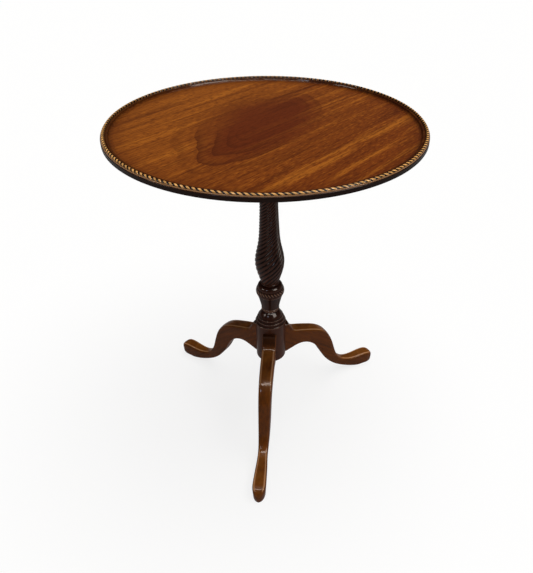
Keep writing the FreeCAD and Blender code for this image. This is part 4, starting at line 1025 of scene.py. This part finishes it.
class TEA_OT_stage(bpy.types.Operator):
    """Adds the floor, the lamps and the camera at the photograph's angle"""
    bl_idname = "tea_table.stage"
    bl_label = "Stage"

    def execute(self, context):
        look = settings(context)[3]
        scene = context.scene
        scene.view_settings.view_transform = "Standard"
        self.add_camera(scene, look)
        self.add_world(scene)
        self.add_floor(context, look)
        self.add_skylight(context)
        for gleam in GLEAMS:
            self.add_gleam(context, *gleam)
        return {"FINISHED"}

    def add_camera(self, scene, look):
        """The camera: heading and pitch set its line of sight, and roll turns it about that line."""
        sight = Vector((math.sin(look.heading) * math.cos(look.pitch),
                        math.cos(look.heading) * math.cos(look.pitch), -math.sin(look.pitch)))
        right = Vector((math.cos(look.heading), -math.sin(look.heading), 0))
        up = right.cross(sight)
        turned_right = math.cos(look.roll) * right + math.sin(look.roll) * up
        turned_up = math.cos(look.roll) * up - math.sin(look.roll) * right
        data = bpy.data.cameras.new("camera")
        data.lens = look.lens
        data.shift_x = look.shift_x
        data.shift_y = look.shift_y
        camera = bpy.data.objects.new("camera", data)
        axes = Matrix((turned_right, turned_up, -sight)).transposed().to_4x4()
        camera.matrix_world = Matrix.Translation(look.camera_place) @ axes
        scene.collection.objects.link(camera)
        scene.camera = camera

    def add_world(self, scene):
        """A plain dim room that lights the table, and shows as white where the floor ends."""
        scene.world = bpy.data.worlds.new("room")
        scene.world.use_nodes = True
        tree = scene.world.node_tree
        tree.nodes.clear()
        path = add(tree, "LightPath", None)
        level = add(tree, "Math", 0, {
            0: path.outputs["Is Camera Ray"], 1: 1 - ROOM_LEVEL, 2: ROOM_LEVEL}, operation="MULTIPLY_ADD")
        room = add(tree, "Background", 0, {"Color": (1, 1, 1, 1), "Strength": level})
        add(tree, "OutputWorld", None, {"Surface": room})

    def seen_directly(self, tree):
        """One where a camera, glossy or transmission ray looks, and zero where light is gathered."""
        path = add(tree, "LightPath", None)
        seen = add(tree, "Math", 0, {
            0: path.outputs["Is Camera Ray"], 1: path.outputs["Is Glossy Ray"]}, operation="MAXIMUM")
        return add(tree, "Math", 0, {0: seen, 1: path.outputs["Is Transmission Ray"]}, operation="MAXIMUM")

    def add_floor(self, context, look):
        """A pale floor that reads as white and keeps a soft shadow."""
        bpy.ops.mesh.primitive_plane_add(size=FLOOR_SIZE)
        floor = context.object
        floor.name = "floor"
        material, tree = new_material("pale_floor")
        lit = add(tree, "BsdfDiffuse", 0, {"Color": (*look.floor, 1)})
        white = add(tree, "Emission", 0, {"Color": (1, 1, 1, 1), "Strength": 1.0})
        share = add(tree, "Math", 0, {0: self.seen_directly(tree), 1: FLOOR_WHITENESS}, operation="MULTIPLY")
        mixed = add(tree, "MixShader", 0, {0: share, 1: lit, 2: white})
        add(tree, "OutputMaterial", None, {"Surface": mixed})
        floor.data.materials.append(material)

    def add_skylight(self, context):
        """A broad soft light from above, even over the whole floor."""
        data = bpy.data.lights.new("skylight", "SUN")
        data.energy = SKY_LEVEL
        data.angle = math.radians(SKY_SPREAD)
        lamp = bpy.data.objects.new("skylight", data)
        lamp.rotation_euler = [math.radians(lean) for lean in SKY_LEAN]
        context.collection.objects.link(lamp)

    def add_gleam(self, context, name, place, size, power, tint):
        """A lamp that faces the table and only shows in its polish, so the light's level stays plain."""
        data = bpy.data.lights.new(name, "AREA")
        data.shape = "RECTANGLE"
        data.size, data.size_y = size
        data.energy = power
        data.color = linear(tint)
        lamp = bpy.data.objects.new(name, data)
        lamp.location = place
        lamp.rotation_euler = (Vector(GLEAM_AIM) - Vector(place)).to_track_quat("-Z", "Y").to_euler()
        lamp.visible_diffuse = False
        context.collection.objects.link(lamp)


class TEA_OT_tray(bpy.types.Operator):
    """Turns the dished top with its moulded rim"""
    bl_idname = "tea_table.tray"
    bl_label = "Tray top"

    def execute(self, context):
        look = settings(context)[0]
        outline = tray_outline()
        points = turned(outline, TRAY_SEGMENTS)
        piece = make_piece("tray_board", points, figured_mahogany(look), {"rim": rim_stain_and_shade(outline)[:, None]})
        place_piece(piece, "top", "top_mahogany", "tray_top")
        return {"FINISHED"}


class TEA_OT_rope(bpy.types.Operator):
    """Lays the light and dark pieces of the rope inlay round the rim"""
    bl_idname = "tea_table.rope"
    bl_label = "Rope inlay"

    def execute(self, context):
        look = settings(context)[0]
        woods = (("light", 0, rope_wood("polished_boxwood", look.light_rope, look.rope_shade_and_pores, 0.3), "boxwood"),
                 ("dark", 1, rope_wood("polished_ebony", look.dark_rope, look.dark_rope, 0.3), "ebony"))
        draw = np.random.default_rng(TONE_SEED)
        for shade, first, material, slot in woods:
            points, bright = rope_points(look.rope_pairs, look.rope_slant, look.rope_puff / MM, first)
            values = {"tone": draw.random(len(points))[:, None, None], "bright": bright}
            piece = make_piece("rope_" + shade, points, material, values, crease=ROPE_CREASE_ANGLE)
            place_piece(piece, "top", slot, "rope_inlay_" + shade)
        points = turned(stringing_outline(), TRAY_SEGMENTS)
        line = rope_wood("boxwood_stringing", look.stringing, look.rim, 0.4)
        piece = make_piece("rope_stringing", points, line, {"tone": 0.5, "bright": 1})
        place_piece(piece, "top", "boxwood")
        return {"FINISHED"}


class TEA_OT_pillar(bpy.types.Operator):
    """Turns and reeds the pillar"""
    bl_idname = "tea_table.pillar"
    bl_label = "Pillar"

    def execute(self, context):
        look = settings(context)[1]
        points, hollow = reeded_pillar(look)
        piece = make_piece("reeded_pillar", points, turned_mahogany(look), {"hollow": hollow})
        place_piece(piece, "base", "pillar_mahogany", "pillar")
        return {"FINISHED"}


class TEA_OT_legs(bpy.types.Operator):
    """Shapes the three cabriole legs"""
    bl_idname = "tea_table.legs"
    bl_label = "Legs"

    def execute(self, context):
        look = settings(context)[2]
        points, wear = leg_points(look)
        slope = math.radians(GRAIN_SLOPE)
        along = points[..., 0] * math.cos(slope) + points[..., 2] * math.sin(slope)
        above = points[..., 2] * math.cos(slope) - points[..., 0] * math.sin(slope)
        grain = np.stack([along, points[..., 1], above], axis=-1) * MM
        material = leg_mahogany(look)
        for node, angle in LEG_ANGLES.items():
            c, s = math.cos(math.radians(angle)), math.sin(math.radians(angle))
            spun = points @ np.array([[c, s, 0], [-s, c, 0], [0, 0, 1]])
            shifted = grain + (0, 0, angle * MM)
            piece = make_piece("carved_" + node, spun, material, {"wear": wear, "grain": shifted})
            place_piece(piece, "base", "leg_mahogany", node)
        return {"FINISHED"}


class TEA_OT_frame(bpy.types.Operator):
    """Finishes the block, bearers, pins and wedge under the top"""
    bl_idname = "tea_table.frame"
    bl_label = "Frame under the top"

    def execute(self, context):
        across = sawn_wood("sawn_mahogany_block", 0, *SAWN_MAHOGANY)
        lengthways = sawn_wood("sawn_mahogany_bearers", 1, *SAWN_MAHOGANY)
        pins = sawn_wood("bare_oak", 0, *BARE_OAK)
        for node, material in {"block": across, "pivot_pin_left": pins, "pivot_pin_right": pins}.items():
            finish_node(node, material, FRAME_EDGE)
        for node in ("bearer_left", "bearer_right"):
            finish_node(node, lengthways, BEARER_EDGE, clamp=False)
        finish_node("tenon_wedge", pins, WEDGE_EDGE, clamp=False)
        return {"FINISHED"}


class TEA_OT_fittings(bpy.types.Operator):
    """Finishes the brass catch and strike, the iron brace, and the screws and nails"""
    bl_idname = "tea_table.fittings"
    bl_label = "Metal fittings"

    def execute(self, context):
        brass = aged_brass()
        iron = forged_iron()
        for node in ("catch_plate", "catch_case", "catch_bolt", "catch_knob", "catch_screws", "strike_plate",
                     "strike_screws"):
            finish_node(node, brass, FITTING_EDGE)
        for node in ("leg_brace", "brace_nails", "bearer_screws"):
            finish_node(node, iron, FITTING_EDGE)
        return {"FINISHED"}


class TEA_PT_panel(bpy.types.Panel):
    """Lists the table's pieces in the sidebar"""
    bl_idname = "TEA_PT_panel"
    bl_label = "Tea Table"
    bl_space_type = "VIEW_3D"
    bl_region_type = "UI"
    bl_category = "Tea Table"

    def draw(self, context):
        for group in settings(context):
            box = self.layout.box()
            for key in group.bl_rna.properties.keys():
                if key not in ("rna_type", "name"):
                    box.prop(group, key)
        for operator in OPERATORS:
            self.layout.operator(operator.bl_idname)


OPERATORS = (TEA_OT_stage, TEA_OT_tray, TEA_OT_rope, TEA_OT_pillar, TEA_OT_legs, TEA_OT_frame,
             TEA_OT_fittings)
GROUPS = {"tea_table_tray": TrayLook, "tea_table_pillar": PillarLook, "tea_table_legs": LegLook,
          "tea_table_stage": StageLook}


def register():
    """Registers the classes and hangs their properties on the scene."""
    for made in (*GROUPS.values(), *OPERATORS, TEA_PT_panel):
        bpy.utils.register_class(made)
    for name, group in GROUPS.items():
        setattr(bpy.types.Scene, name, PointerProperty(type=group))


def unregister():
    """Takes the properties off the scene and unregisters the classes."""
    for name in GROUPS:
        delattr(bpy.types.Scene, name)
    for made in (TEA_PT_panel, *OPERATORS, *GROUPS.values()):
        bpy.utils.unregister_class(made)


def main():
    """Builds the table piece by piece."""
    register()
    bpy.ops.tea_table.stage()
    bpy.ops.tea_table.tray()
    bpy.ops.tea_table.rope()
    bpy.ops.tea_table.pillar()
    bpy.ops.tea_table.legs()
    bpy.ops.tea_table.frame()
    bpy.ops.tea_table.fittings()


if __name__ == "__main__":
    main()
